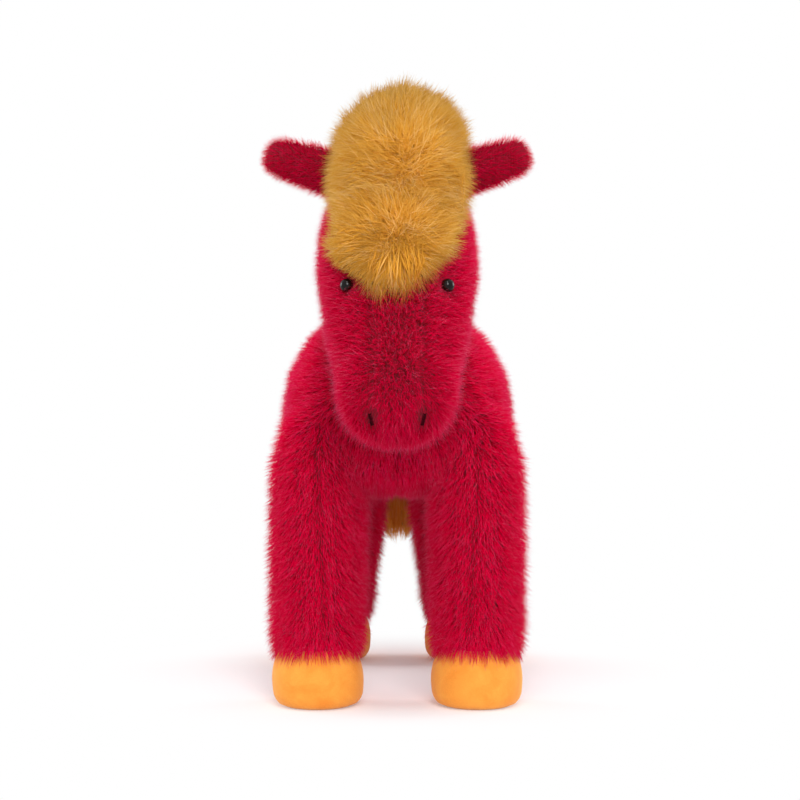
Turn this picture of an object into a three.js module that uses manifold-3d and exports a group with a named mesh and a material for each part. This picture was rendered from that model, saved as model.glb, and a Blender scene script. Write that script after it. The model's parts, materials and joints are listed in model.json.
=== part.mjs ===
// Standing plush horse in millimetres, +Z up. It faces -Y, and its left side is +X.
// The origin lies on the floor under the middle of the toy.
// Fur pieces are drawn at the middle of their pile, so the tips stand a little further out.
import * as THREE from 'three';
import { mergeVertices } from 'three/addons/utils/BufferGeometryUtils.js';
import Module from 'manifold-3d';

const wasm = await Module();
wasm.setup();

const radians = THREE.MathUtils.degToRad;

// Fits and cutting room that all pieces share
const seamGap = 0.3;
const swingGap = 0.5;
const overrun = 60;

// Cloth and pile
const furCover = 3;
const suede = 2;

// Torso
const torsoFront = -82;
const torsoBack = 116;
const hipHeight = 110;
const torsoAboveHip = 25;
const torsoMidHeight = hipHeight + torsoAboveHip;
const torsoHalfWidth = 52;
const torsoTopRise = 54;
const torsoBellyDrop = 38;
const sideSeamDrop = 23;
const sideSeamHeight = torsoMidHeight - sideSeamDrop;

// Legs, with the hooves that they end in
const hoofRadius = 20.3;
const hoofRound = 5;
const hoofTop = 26;
const soleThickness = 2;
const pelletBagHeight = 10;
const legAboveHip = 41;
const legTop = hipHeight + legAboveHip;
const frontLegX = 36.8;
const frontLegSetback = 26;
const frontLegY = torsoFront + frontLegSetback;
const frontLegHalfWidth = 21.5;
const frontLegHalfDepth = 21.5;
const frontLegLean = 9;
const frontHubRadius = 23;
const frontHubInner = 13.8;
const rearLegX = 36;
const rearLegSetback = 26;
const rearLegY = torsoBack - rearLegSetback;
const rearLegHalfWidth = 24.5;
const rearLegHalfDepth = 25;
const rearLegLean = 12;
const rearHubRadius = 26.5;
const rearHubInner = 6.8;
const legReach = 70;
const frontSwing = [-12, 12];
const rearSwing = [-10, 8];

// Neck
const neckSetback = 42;
const neckPivotY = torsoFront + neckSetback;
const neckAboveTorso = 37;
const neckPivotHeight = torsoMidHeight + neckAboveTorso;
const neckHubRadius = 31;
const neckHubHalfSpan = 29.5;
const neckHalfWidth = 28.5;
const neckHalfDepth = 30;
const neckTopRadius = 26;
const neckRise = 40;
const neckTopHeight = neckPivotHeight + neckRise;
const neckLean = 12;
const neckTurnY = neckPivotY - neckLean;
const neckReach = 46;
const neckNod = [-8, 7];

// Head, a long form that hangs forward and down from the poll
const headSetback = 18;
const headPollY = neckTurnY + headSetback;
const headRise = 37;
const headPollHeight = neckTopHeight + headRise;
const headTilt = 40;
const headLength = 158.5;
const headHalfWidth = 34;
const headFaceDepth = 33;
const headThroatDepth = 37;
const gussetHalfWidth = 11.5;
const throatRoom = 31.5;

// Eyes and nostrils
const eyeHalfSpacing = 21.7;
const eyeDrop = 58.5;
const eyeHeight = headPollHeight - eyeDrop;
const eyeRadius = 3.1;
const eyeShankRadius = 1;
const eyeShankLength = 5;
const washerRadius = 4.2;
const washerThickness = 1.2;
const nostrilHalfSpacing = 11;
const noseHeight = headPollHeight - headLength * Math.cos(radians(headTilt));
const nostrilAboveNose = 5.4;
const nostrilHeight = noseHeight + nostrilAboveNose;
const nostrilLength = 6;
const nostrilWidth = 2;

// Ears
const earX = 22;
const earForward = 24;
const earY = headPollY - earForward;
const earDrop = 6;
const earHeight = headPollHeight - earDrop;
const earLength = 40;
const earRootRadius = 10.5;
const earTipHalfHeight = 7;
const earHalfThickness = 5;
const earRise = 17;
const earFlop = [-15, 15];

// Mane and forelock
const maneForward = 87;
const maneTipY = headPollY - maneForward;
const maneDrop = 66;
const maneTipHeight = headPollHeight - maneDrop;
const maneBack = 38;
const maneEndY = headPollY + maneBack;
const maneLift = 1;
const manePollHeight = headPollHeight + maneLift;
const maneHalfWidth = 31;
const manePile = 38;
const maneBase = 12;

// Tail
const dockInset = 11;
const dockY = torsoBack - dockInset;
const dockAboveTorso = 27;
const dockHeight = torsoMidHeight + dockAboveTorso;
const dockRadius = 7.5;
const dockHalfSpan = 7.5;
const dockOverhang = 1.6;
const dockFace = torsoBack + dockOverhang;
const tailLift = [0, 45];
const tailHalfWidth = 17;
const tailHalfDepth = 12;
const tailStandoff = 0.4;
const tailMiddleY = dockFace + tailHalfDepth + tailStandoff;
const tailAboveDock = 9;
const tailTop = dockHeight + tailAboveDock;
const tailLength = 113;
const tailTip = tailTop - tailLength;
const tailCoreRadius = 3.5;

// Hand-sewn closing stitch on the belly seam
const closingStitchLength = 46;
const closingStitchWidth = 1.2;
const closingStitchY = 10;

// Facets of the round forms
const bodySides = 18;
const limbSides = 12;
const hubSides = 24;
const smallSides = 10;

const colours = {
  crimsonFur: 0xb50c33,
  darkFur: 0x8e0a2a,
  goldPile: 0xd0933a,
  suede: 0xfbae4c,
  fibre: 0xf2efe8,
  beadEye: 0x1a0d0a,
  thread: 0x3c0612,
  pellets: 0xe6e2d4,
  washer: 0xd9d9d9,
};

const X = new THREE.Vector3(1, 0, 0);
const Y = new THREE.Vector3(0, 1, 0);
const Z = new THREE.Vector3(0, 0, 1);

// Solids

function signedVolume(geometry) {
  const at = geometry.getAttribute('position');
  const index = geometry.getIndex();
  const [a, b, c] = [new THREE.Vector3(), new THREE.Vector3(), new THREE.Vector3()];
  let total = 0;
  for (let i = 0; i < index.count; i += 3) {
    a.fromBufferAttribute(at, index.getX(i));
    b.fromBufferAttribute(at, index.getX(i + 1));
    c.fromBufferAttribute(at, index.getX(i + 2));
    total += a.dot(b.cross(c));
  }
  return total;
}

// A closed geometry becomes a solid whose faces point out.
function solid(geometry) {
  geometry.deleteAttribute('normal');
  geometry.deleteAttribute('uv');
  const merged = mergeVertices(geometry);
  const corners = Uint32Array.from(merged.getIndex().array);
  if (signedVolume(merged) < 0) {
    corners.reverse();
  }
  const points = Float32Array.from(merged.getAttribute('position').array);
  return new wasm.Manifold(
    new wasm.Mesh({ numProp: 3, vertProperties: points, triVerts: corners }),
  );
}

// Rings of points joined one to the next, each end drawn in to a point.
function loft(start, rings, end) {
  const sides = rings[0].length;
  const points = [start, ...rings.flat(), end];
  const last = points.length - 1;
  const faces = [];
  for (let i = 0; i < sides; i += 1) {
    const next = (i + 1) % sides;
    faces.push(0, 1 + next, 1 + i);
    for (let ring = 0; ring < rings.length - 1; ring += 1) {
      const here = 1 + ring * sides;
      const there = here + sides;
      faces.push(here + i, here + next, there + next);
      faces.push(here + i, there + next, there + i);
    }
    const rim = 1 + (rings.length - 1) * sides;
    faces.push(rim + i, rim + next, last);
  }
  const geometry = new THREE.BufferGeometry();
  geometry.setFromPoints(points);
  geometry.setIndex(faces);
  return solid(geometry);
}

// An oval ring about a centre, with its own depth on each side of the across line.
function oval(centre, across, up, halfWidth, upper, lower, sides) {
  const ring = [];
  for (let i = 0; i < sides; i += 1) {
    const turn = (i * 2 * Math.PI) / sides;
    const side = Math.cos(turn) * halfWidth;
    const rise = Math.sin(turn) * (Math.sin(turn) > 0 ? upper : lower);
    ring.push(centre.clone().addScaledVector(across, side).addScaledVector(up, rise));
  }
  return ring;
}

function block(lowX, highX, lowY, highY, lowZ, highZ) {
  const box = new THREE.BoxGeometry(highX - lowX, highY - lowY, highZ - lowZ);
  box.translate((lowX + highX) / 2, (lowY + highY) / 2, (lowZ + highZ) / 2);
  return solid(box);
}

// A flat outline in the plane of u and v, pushed along u x v.
function prism(outline, origin, u, v, length) {
  const depth = u.clone().cross(v);
  const geometry = new THREE.ExtrudeGeometry(
    new THREE.Shape(outline),
    { depth: length, bevelEnabled: false },
  );
  geometry.applyMatrix4(new THREE.Matrix4().makeBasis(u, v, depth).setPosition(origin));
  return solid(geometry);
}

function circle(radius, sides) {
  const points = [];
  for (let i = 0; i < sides; i += 1) {
    const turn = (i * 2 * Math.PI) / sides;
    points.push(new THREE.Vector2(Math.cos(turn) * radius, Math.sin(turn) * radius));
  }
  return points;
}

function lathe(profile, sides, place) {
  const geometry = new THREE.LatheGeometry(
    profile.map(([radius, height]) => new THREE.Vector2(radius, height)),
    sides,
  );
  geometry.applyMatrix4(place);
  return solid(geometry);
}

// A lathe stands on Y. These places stand it on Z, or on any direction.
function standing(x, y, z) {
  return new THREE.Matrix4().makeRotationX(Math.PI / 2).setPosition(x, y, z);
}

function pointing(at, direction) {
  const turn = new THREE.Quaternion().setFromUnitVectors(Y, direction);
  return new THREE.Matrix4().compose(at, turn, new THREE.Vector3(1, 1, 1));
}

// The largest body of a cut solid, without the crumbs that a cut may leave.
function whole(cut) {
  return cut.decompose().sort((a, b) => b.volume() - a.volume())[0];
}

// A hinge hub: a short cylinder on the hinge line, which ends the limb that swings.
// Its room in the parent is the same cylinder, a gap larger, with the wedge it sweeps.
function hingeHub(hinge, clear = 0) {
  const radius = hinge.radius + clear;
  const start = hinge.origin.clone().addScaledVector(hinge.line, hinge.from - clear);
  const length = hinge.to - hinge.from + 2 * clear;
  return prism(circle(radius, hubSides), start, hinge.u, hinge.v, length);
}

function hingeRoom(hinge) {
  const radius = hinge.radius + swingGap;
  const start = hinge.origin.clone().addScaledVector(hinge.line, hinge.from - swingGap);
  const length = hinge.to - hinge.from + 2 * swingGap;
  const heading = turn => new THREE.Vector2(Math.cos(turn), Math.sin(turn));
  const low = hinge.heading + radians(hinge.range[0]);
  const high = hinge.heading + radians(hinge.range[1]);
  const lowSide = heading(low - Math.PI / 2).multiplyScalar(radius);
  const highSide = heading(high + Math.PI / 2).multiplyScalar(radius);
  const wedge = [
    lowSide,
    lowSide.clone().addScaledVector(heading(low), hinge.reach),
    highSide.clone().addScaledVector(heading(high), hinge.reach),
    highSide,
    new THREE.Vector2(0, 0),
  ];
  return hingeHub(hinge, swingGap).add(prism(wedge, start, hinge.u, hinge.v, length));
}

// A hinge whose line runs along X: its plane is Y, Z, so a positive turn lifts +Y.
function crossHinge(y, z, radius, from, to, heading, range, reach) {
  return {
    origin: new THREE.Vector3(0, y, z), line: X, u: Y, v: Z,
    radius, from, to, heading, range, reach,
  };
}

// Outer forms. Each takes an inset, so the same form gives cover, lining and filling.

function torsoForm(inset) {
  // share along, half-width share, top share, belly share
  const torsoShares = [
    [0.018, 0.40, 0.24, 0.50],
    [0.058, 0.70, 0.45, 0.80],
    [0.117, 0.90, 0.68, 0.93],
    [0.194, 0.985, 0.90, 0.98],
    [0.28, 1, 1, 1],
    [0.42, 0.97, 0.97, 1],
    [0.57, 0.95, 0.94, 0.99],
    [0.71, 0.97, 0.96, 0.97],
    [0.835, 0.96, 0.97, 0.90],
    [0.922, 0.82, 0.87, 0.72],
    [0.972, 0.56, 0.62, 0.45],
  ];
  const front = torsoFront + inset;
  const back = torsoBack - inset;
  const place = share => new THREE.Vector3(0, front + (back - front) * share, torsoMidHeight);
  const rings = torsoShares.map(([along, width, top, belly]) => oval(
    place(along), X, Z,
    (torsoHalfWidth - inset) * width,
    (torsoTopRise - inset) * top,
    (torsoBellyDrop - inset) * belly,
    bodySides,
  ));
  return loft(place(0), rings, place(1));
}

const frontLeg = {
  x: frontLegX,
  y: frontLegY,
  halfWidth: frontLegHalfWidth,
  halfDepth: frontLegHalfDepth,
  lean: frontLegLean,
  // share of the height, half-width share, half-depth share, share of the lean inwards
  shares: [
    [0, 0.955, 0.955, 0],
    [0.35, 0.975, 0.97, 0],
    [0.68, 1, 1, 0.1],
    [0.84, 0.90, 0.90, 0.45],
    [0.95, 0.55, 0.60, 0.85],
  ],
};

const rearLeg = {
  x: rearLegX,
  y: rearLegY,
  halfWidth: rearLegHalfWidth,
  halfDepth: rearLegHalfDepth,
  lean: rearLegLean,
  shares: [
    [0, 0.84, 0.82, 0],
    [0.22, 0.90, 0.87, 0.14],
    [0.40, 0.99, 0.97, 0.28],
    [0.68, 0.97, 1, 0.42],
    [0.86, 0.80, 0.82, 0.65],
    [0.95, 0.50, 0.52, 0.9],
  ],
};

function legForm(leg, side, inset) {
  const bottom = hoofTop - hoofRound;
  const top = legTop - inset;
  const place = (share, lean) => new THREE.Vector3(
    side * (leg.x - leg.lean * lean), leg.y, bottom + (top - bottom) * share,
  );
  const rings = leg.shares.map(([along, width, depth, lean]) => oval(
    place(along, lean), X, Y,
    (leg.halfWidth - inset) * width,
    (leg.halfDepth - inset) * depth,
    (leg.halfDepth - inset) * depth,
    limbSides,
  ));
  return loft(place(0, 0), rings, place(1, 1));
}

function neckForm(inset) {
  // share of the rise, share of the way forward, half-width share, half-depth share, roundness
  const neckShares = [
    [0, 0, 0.95, 0.95, 0],
    [0.30, 0.12, 1, 0.99, 0],
    [0.58, 0.45, 0.99, 0.97, 0],
    [0.80, 0.80, 0.97, 0.90, 0.5],
    [1, 1, 1, 1, 1],
  ];
  const rise = neckTopHeight - neckPivotHeight;
  const forward = neckTurnY - neckPivotY;
  const mix = THREE.MathUtils.lerp;
  const place = (up, way) => new THREE.Vector3(
    0, neckPivotY + forward * way, neckPivotHeight + rise * up,
  );
  const rings = neckShares.map(([up, way, width, depth, round]) => oval(
    place(up, way), X, Y,
    mix((neckHalfWidth - inset) * width, neckTopRadius - inset, round),
    mix((neckHalfDepth - inset) * depth, neckTopRadius - inset, round),
    mix((neckHalfDepth - inset) * depth, neckTopRadius - inset, round),
    limbSides,
  ));
  return loft(place(0, 0), rings, place(1, 1));
}

const headAxis = new THREE.Vector3(0, -Math.sin(radians(headTilt)), -Math.cos(radians(headTilt)));
const headFaceWay = new THREE.Vector3(0, -Math.cos(radians(headTilt)), Math.sin(radians(headTilt)));
const headPoll = new THREE.Vector3(0, headPollY, headPollHeight);

function headForm(inset) {
  // share along, half-width share, face depth share, throat depth share
  const headShares = [
    [0.03, 0.45, 0.45, 0.42],
    [0.10, 0.76, 0.76, 0.72],
    [0.20, 0.94, 0.95, 0.94],
    [0.33, 1, 1, 1],
    [0.45, 1, 0.95, 0.93],
    [0.57, 0.95, 0.86, 0.76],
    [0.70, 0.855, 0.75, 0.64],
    [0.80, 0.76, 0.70, 0.62],
    [0.885, 0.72, 0.65, 0.59],
    [0.955, 0.58, 0.49, 0.46],
    [0.985, 0.38, 0.30, 0.30],
  ];
  const place = share => headPoll.clone()
    .addScaledVector(headAxis, inset + (headLength - 2 * inset) * share);
  const rings = headShares.map(([along, width, face, throat]) => oval(
    place(along), X, headFaceWay,
    (headHalfWidth - inset) * width,
    (headFaceDepth - inset) * face,
    (headThroatDepth - inset) * throat,
    bodySides,
  ));
  return loft(place(0), rings, place(1));
}

// The pile follows a path over the forehead, the poll and the back of the neck.
function maneForm() {
  // share of the way back, share of the rise, width share, pile share
  const maneShares = [
    [0.035, 0.09, 0.36, 0.15],
    [0.095, 0.22, 0.72, 0.27],
    [0.16, 0.39, 0.93, 0.38],
    [0.235, 0.58, 0.99, 0.54],
    [0.33, 0.79, 1, 0.79],
    [0.44, 0.90, 1, 0.94],
    [0.565, 1, 1, 1],
    [0.685, 0.94, 0.98, 0.96],
    [0.78, 0.77, 0.92, 0.84],
    [0.82, 0.52, 0.85, 0.70],
    [0.86, 0.29, 0.74, 0.55],
    [0.93, 0.13, 0.52, 0.36],
  ];
  const place = (back, up) => new THREE.Vector3(
    0,
    THREE.MathUtils.lerp(maneTipY, maneEndY, back),
    THREE.MathUtils.lerp(maneTipHeight, manePollHeight, up),
  );
  const start = place(0, 0);
  const end = place(1, 0);
  const path = [start, ...maneShares.map(([back, up]) => place(back, up)), end];
  const rings = maneShares.map(([, , width, pile], i) => {
    const along = path[i + 2].clone().sub(path[i]).normalize();
    const out = X.clone().cross(along);
    const base = maneBase * width;
    return oval(path[i + 1], X, out, maneHalfWidth * width, manePile * pile, base, limbSides);
  });
  return loft(start, rings, end);
}

function tailForm(halfWidth, halfDepth, top, tip) {
  // share of the drop, half-width share, half-depth share, share of the way back in
  const tailShares = [
    [0.04, 0.45, 0.62, 0],
    [0.16, 0.80, 0.92, 0],
    [0.38, 1, 1, 0],
    [0.60, 0.98, 0.97, 0.1],
    [0.80, 0.78, 0.80, 0.5],
    [0.93, 0.45, 0.48, 0.9],
  ];
  const curl = halfDepth / 3;
  const place = (drop, inwards) => new THREE.Vector3(
    0, tailMiddleY - curl * inwards, top - (top - tip) * drop,
  );
  const rings = tailShares.map(([drop, width, depth, inwards]) => oval(
    place(drop, inwards), X, Y,
    halfWidth * width, halfDepth * depth, halfDepth * depth, limbSides,
  ));
  return loft(place(0, 0), rings, place(1, 1));
}

// The torso, with the shoulders and haunches that the tops of the legs raise on it
const legs = [
  { name: 'front_left', side: 1, leg: frontLeg },
  { name: 'front_right', side: -1, leg: frontLeg },
  { name: 'rear_left', side: 1, leg: rearLeg },
  { name: 'rear_right', side: -1, leg: rearLeg },
];
const aboveHips = block(-overrun * 2, overrun * 2, torsoFront - overrun, torsoBack + overrun,
  hipHeight, hipHeight + overrun * 2);
const belowHips = block(-overrun * 2, overrun * 2, torsoFront - overrun, torsoBack + overrun,
  -overrun, hipHeight);

function bodyForm(inset) {
  const tops = legs.map(({ leg, side }) => legForm(leg, side, inset).intersect(aboveHips));
  return tops.reduce((body, top) => body.add(top), torsoForm(inset));
}

const bodyOuter = bodyForm(0);
const bodyInner = bodyForm(furCover);
const bodyFill = bodyForm(furCover + seamGap);

// Hinges

function legHinge({ leg, side }) {
  const front = leg === frontLeg;
  const inner = front ? frontHubInner : rearHubInner;
  const outer = torsoHalfWidth + overrun;
  return crossHinge(
    leg.y, hipHeight,
    front ? frontHubRadius : rearHubRadius,
    side > 0 ? inner : -outer,
    side > 0 ? outer : -inner,
    -Math.PI / 2,
    front ? frontSwing : rearSwing,
    legReach,
  );
}

const neckHinge = crossHinge(neckPivotY, neckPivotHeight, neckHubRadius,
  -neckHubHalfSpan, neckHubHalfSpan, Math.PI / 2, neckNod, neckReach);
const dockHinge = crossHinge(dockY, dockHeight, dockRadius,
  -dockHalfSpan, dockHalfSpan, 0, tailLift, overrun);

function earHinge(side) {
  const heading = side > 0 ? radians(earRise) : Math.PI - radians(earRise);
  return {
    origin: new THREE.Vector3(side * earX, earY, earHeight),
    line: Y.clone().negate(), u: X, v: Z,
    radius: earRootRadius, from: -earHalfThickness, to: earHalfThickness,
    heading, range: earFlop, reach: overrun,
  };
}

const earSides = [['left', 1], ['right', -1]];
const torsoRoom = legs.map(one => hingeRoom(legHinge(one)))
  .reduce((all, room) => all.add(room), hingeRoom(neckHinge).add(hingeRoom(dockHinge)));
const earRoom = hingeRoom(earHinge(1)).add(hingeRoom(earHinge(-1)));

// The head turns on a vertical line, so the room for the neck in it is round.
const turnAxis = standing(0, neckTurnY, 0);
const neckRoom = lathe([
  [0, neckPivotHeight - overrun],
  [throatRoom, neckPivotHeight - overrun],
  [throatRoom, neckTopHeight - (throatRoom - neckTopRadius) * 2],
  [neckTopRadius + 2 * swingGap, neckTopHeight + seamGap],
  [0, neckTopHeight + seamGap],
], hubSides, turnAxis);

// Halves and zones
const far = overrun * 5;
const leftHalf = block(seamGap / 2, far, -far, far, -far, far);
const rightHalf = block(-far, -seamGap / 2, -far, far, -far, far);
const halves = [['left', leftHalf], ['right', rightHalf]];

// The scene graph
const horse = new THREE.Group();
horse.name = 'plush_horse';

function addPiece(name, body, colour, roughness = 0.95) {
  const mesh = whole(body).getMesh();
  const geometry = new THREE.BufferGeometry();
  geometry.setAttribute('position', new THREE.BufferAttribute(mesh.vertProperties, 3));
  geometry.setIndex(new THREE.BufferAttribute(mesh.triVerts, 1));
  const flat = geometry.toNonIndexed();
  flat.computeVertexNormals();
  const material = new THREE.MeshStandardMaterial({ color: colour, roughness, metalness: 0 });
  const piece = new THREE.Mesh(flat, material);
  piece.name = name;
  horse.add(piece);
}

// Torso: two side panels over an underbody gusset in two halves
const torsoShell = bodyOuter.subtract(bodyInner).subtract(torsoRoom);
const sideZone = block(-far, far, -far, far, sideSeamHeight + seamGap / 2, far);
const underZone = block(-far, far, -far, far, -far, sideSeamHeight - seamGap / 2);
for (const [hand, half] of halves) {
  addPiece(`torso_side_${hand}`, torsoShell.intersect(sideZone).intersect(half),
    colours.crimsonFur);
  addPiece(`underbody_${hand}`, torsoShell.intersect(underZone).intersect(half),
    colours.crimsonFur);
}
addPiece('torso_filling', bodyFill.subtract(torsoRoom), colours.fibre);

const bellyHeight = torsoMidHeight - torsoBellyDrop;
addPiece('closing_stitch', block(
  -closingStitchWidth / 2, closingStitchWidth / 2,
  closingStitchY - closingStitchLength / 2, closingStitchY + closingStitchLength / 2,
  bellyHeight - closingStitchWidth - seamGap, bellyHeight - seamGap,
), colours.crimsonFur);

// Legs: two fur panels on a filled leg, sewn to a suedette hoof with a pellet bag in it
const bottomZone = block(-far, far, -far, far, -far, hoofTop);
const soleRadius = hoofRadius - hoofRound;
const insideLeg = hoofRadius - furCover;

function addHoof(name, place) {
  const rim = soleRadius + seamGap;
  const bend = hoofRound * (1 - Math.SQRT1_2);
  const hem = hoofTop - seamGap;
  addPiece(`${name}_hoof_cup`, lathe([
    [rim, seamGap],
    [hoofRadius - bend, bend + seamGap],
    [hoofRadius, hoofRound],
    [hoofRadius, hem],
    [hoofRadius - suede, hem],
    [hoofRadius - suede, hoofRound],
    [rim, soleThickness + seamGap],
    [rim, seamGap],
  ], bodySides, place), colours.suede);
  addPiece(`${name}_hoof_sole`, lathe([
    [0, 0],
    [soleRadius, 0],
    [soleRadius, soleThickness],
    [0, soleThickness],
  ], bodySides, place), colours.suede);
  const low = soleThickness + seamGap;
  const high = low + pelletBagHeight;
  addPiece(`${name}_pellet_bag`, lathe([
    [0, low],
    [soleRadius - suede, low],
    [soleRadius, (low + high) / 2],
    [soleRadius - suede, high],
    [0, high],
  ], smallSides, place), colours.pellets, 0.8);
}

function addLeg(one) {
  const { name, side, leg } = one;
  const hinge = legHinge(one);
  const hub = hingeHub(hinge);
  const limb = (inset, body, reach) => legForm(leg, side, inset).intersect(belowHips)
    .add(body.intersect(reach));
  const inner = limb(furCover, bodyInner, hingeHub(hinge, seamGap));
  const cover = limb(0, bodyOuter, hub).subtract(inner).subtract(bottomZone);
  const seamX = side * leg.x;
  const beyond = block(seamX + seamGap / 2, far, -far, far, -far, far);
  const within = block(-far, seamX - seamGap / 2, -far, far, -far, far);
  const [outerZone, innerZone] = side > 0 ? [beyond, within] : [within, beyond];
  addPiece(`${name}_outer_panel`, cover.intersect(outerZone), colours.crimsonFur);
  addPiece(`${name}_inner_panel`, cover.intersect(innerZone), colours.crimsonFur);

  const place = standing(side * leg.x, leg.y, 0);
  addHoof(name, place);
  const bagTop = soleThickness + pelletBagHeight + 2 * seamGap;
  const foot = lathe([
    [0, bagTop],
    [insideLeg - 2 * seamGap, bagTop],
    [insideLeg - 2 * seamGap, hoofTop + furCover],
    [0, hoofTop + furCover],
  ], bodySides, place);
  const upper = limb(furCover + seamGap, bodyFill, hub).subtract(bottomZone);
  addPiece(`${name}_filling`, upper.add(foot), colours.fibre);
}

for (const one of legs) {
  addLeg(one);
}

// Neck: two fur halves on a filling, nodding on its hub in the shoulders
const abovePivot = block(-far, far, -far, far, neckPivotHeight, far);
const neckOf = (inset, body, reach) => neckForm(inset).intersect(abovePivot)
  .add(body.intersect(reach));
const neckHub = hingeHub(neckHinge);
const neckOuter = neckOf(0, bodyOuter, neckHub);
const openTop = block(-far, far, -far, far, neckTopHeight - furCover - seamGap, far);
const neckLining = neckOf(furCover, bodyInner, hingeHub(neckHinge, seamGap))
  .add(neckForm(furCover).intersect(openTop));
const neckShell = neckOuter.subtract(neckLining);
for (const [hand, half] of halves) {
  addPiece(`neck_cover_${hand}`, neckShell.intersect(half), colours.crimsonFur);
}
addPiece('neck_filling', neckOf(furCover + seamGap, bodyFill, neckHub), colours.fibre);

// Head: two sides and a face gusset on a filling
const headOuter = headForm(0);
const headShell = headOuter.subtract(headForm(furCover)).subtract(neckRoom).subtract(earRoom);

// The place where a level line from the front meets the face, and the way the face looks there
function onFace(x, z) {
  const mesh = headOuter.getMesh();
  const geometry = new THREE.BufferGeometry();
  geometry.setAttribute('position', new THREE.BufferAttribute(mesh.vertProperties, 3));
  geometry.setIndex(new THREE.BufferAttribute(mesh.triVerts, 1));
  const ray = new THREE.Raycaster(new THREE.Vector3(x, -far, z), Y);
  const [hit] = ray.intersectObject(new THREE.Mesh(geometry));
  return { point: hit.point, way: hit.face.normal };
}

function domeOn(spot, clear) {
  const depth = eyeShankLength + clear;
  const radius = eyeRadius + clear;
  const shank = eyeShankRadius + clear;
  const flank = radius * Math.SQRT1_2;
  return lathe([
    [0, -depth],
    [shank, -depth],
    [shank, -clear],
    [radius, -clear],
    [radius, 0],
    [flank, flank],
    [0, radius],
  ], smallSides, pointing(spot.point, spot.way));
}

function washerOn(spot, clear) {
  const face = -(furCover + seamGap) + clear;
  const back = face - washerThickness - 2 * clear;
  const hole = Math.max(0, eyeShankRadius + seamGap - clear * 2);
  return lathe([
    [hole, back],
    [washerRadius + clear, back],
    [washerRadius + clear, face],
    [hole, face],
    [hole, back],
  ], smallSides, pointing(spot.point, spot.way));
}

function stitchOn(spot, clear) {
  const half = nostrilLength / 2 + clear;
  const width = nostrilWidth / 2 + clear;
  const across = X.clone().addScaledVector(spot.way, -spot.way.dot(X)).normalize();
  const along = spot.way.clone().cross(across);
  const ringAt = (share, size) => oval(
    spot.point.clone().addScaledVector(along, half * share),
    across, spot.way, width * size, width * size, width * size, smallSides,
  );
  const end = share => spot.point.clone().addScaledVector(along, half * share);
  const rings = [[-0.8, 0.7], [-0.4, 1], [0.4, 1], [0.8, 0.7]].map(row => ringAt(...row));
  return loft(end(-1), rings, end(1));
}

const eyeSpots = earSides.map(([, side]) => onFace(side * eyeHalfSpacing, eyeHeight));
const nostrilSpots = earSides.map(([, side]) => onFace(side * nostrilHalfSpacing, nostrilHeight));
const eyeRoom = eyeSpots.map(spot => domeOn(spot, seamGap)).reduce((a, b) => a.add(b));
const nostrilRoom = nostrilSpots.map(spot => stitchOn(spot, seamGap)).reduce((a, b) => a.add(b));
const washerRoom = eyeSpots.map(spot => washerOn(spot, seamGap)).reduce((a, b) => a.add(b));

function gussetZone(clear) {
  const half = gussetHalfWidth + clear;
  const across = headFaceWay.clone().cross(headAxis);
  const outline = [[-clear, -far], [far, -far], [far, far], [-clear, far]];
  const points = outline.map(([out, along]) => new THREE.Vector2(out, along));
  const start = headPoll.clone().addScaledVector(across, -half);
  return prism(points, start, headFaceWay, headAxis, 2 * half);
}

const faceShell = headShell.subtract(eyeRoom).subtract(washerRoom).subtract(nostrilRoom);
addPiece('face_gusset', faceShell.intersect(gussetZone(-seamGap / 2)), colours.darkFur);
const headFilling = headForm(furCover + seamGap);
for (const [hand, half] of halves) {
  addPiece(`head_side_${hand}`, faceShell.subtract(gussetZone(seamGap / 2)).intersect(half),
    colours.crimsonFur);
}
addPiece('head_filling', headFilling.subtract(neckRoom).subtract(earRoom)
  .subtract(eyeRoom).subtract(washerRoom).subtract(nostrilRoom), colours.fibre);

earSides.forEach(([hand], i) => {
  addPiece(`eye_${hand}`, domeOn(eyeSpots[i], 0), colours.beadEye, 0.1);
  addPiece(`eye_washer_${hand}`, washerOn(eyeSpots[i], 0), colours.washer, 0.5);
  addPiece(`nostril_stitch_${hand}`, stitchOn(nostrilSpots[i], 0), colours.thread);
});

// Ears: a fur outer behind a short-pile lining, on a round root that flops in the head
function earForm(side) {
  const out = new THREE.Vector3(side * Math.cos(radians(earRise)), 0, Math.sin(radians(earRise)));
  const up = new THREE.Vector3(-side * Math.sin(radians(earRise)), 0, Math.cos(radians(earRise)));
  const root = new THREE.Vector3(side * earX, earY, earHeight);
  // share along, height share, thickness share
  const earShares = [
    [0.1, 0.97, 1],
    [0.4, 1, 1],
    [0.7, 1, 0.95],
    [0.9, 0.97, 0.85],
    [0.975, 0.78, 0.6],
  ];
  const place = share => root.clone().addScaledVector(out, earLength * share);
  const taper = share => THREE.MathUtils.lerp(earRootRadius, earTipHalfHeight, share);
  const thick = earHalfThickness;
  const rings = earShares.map(([share, height, depth]) => oval(
    place(share), up, Y, taper(share) * height, thick * depth, thick * depth, limbSides,
  ));
  return loft(place(0), rings, place(1)).add(hingeHub(earHinge(side)));
}

const earFront = block(-far, far, -far, earY - seamGap / 2, -far, far);
const earBack = block(-far, far, earY + seamGap / 2, far, -far, far);
for (const [hand, side] of earSides) {
  const ear = earForm(side);
  addPiece(`ear_outer_${hand}`, ear.intersect(earBack), colours.crimsonFur);
  addPiece(`ear_lining_${hand}`, ear.intersect(earFront), colours.darkFur);
}

// Mane: a forelock and crown on the head, and a crest down the back of the neck
const mane = maneForm();
const behindTurn = (low, high) => block(-far, far, neckTurnY, far, low, high);
const forelock = mane.subtract(headForm(-seamGap)).subtract(behindTurn(-far, neckTopHeight + seamGap))
  .subtract(earRoom);
addPiece('forelock', forelock, colours.goldPile);

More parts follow.
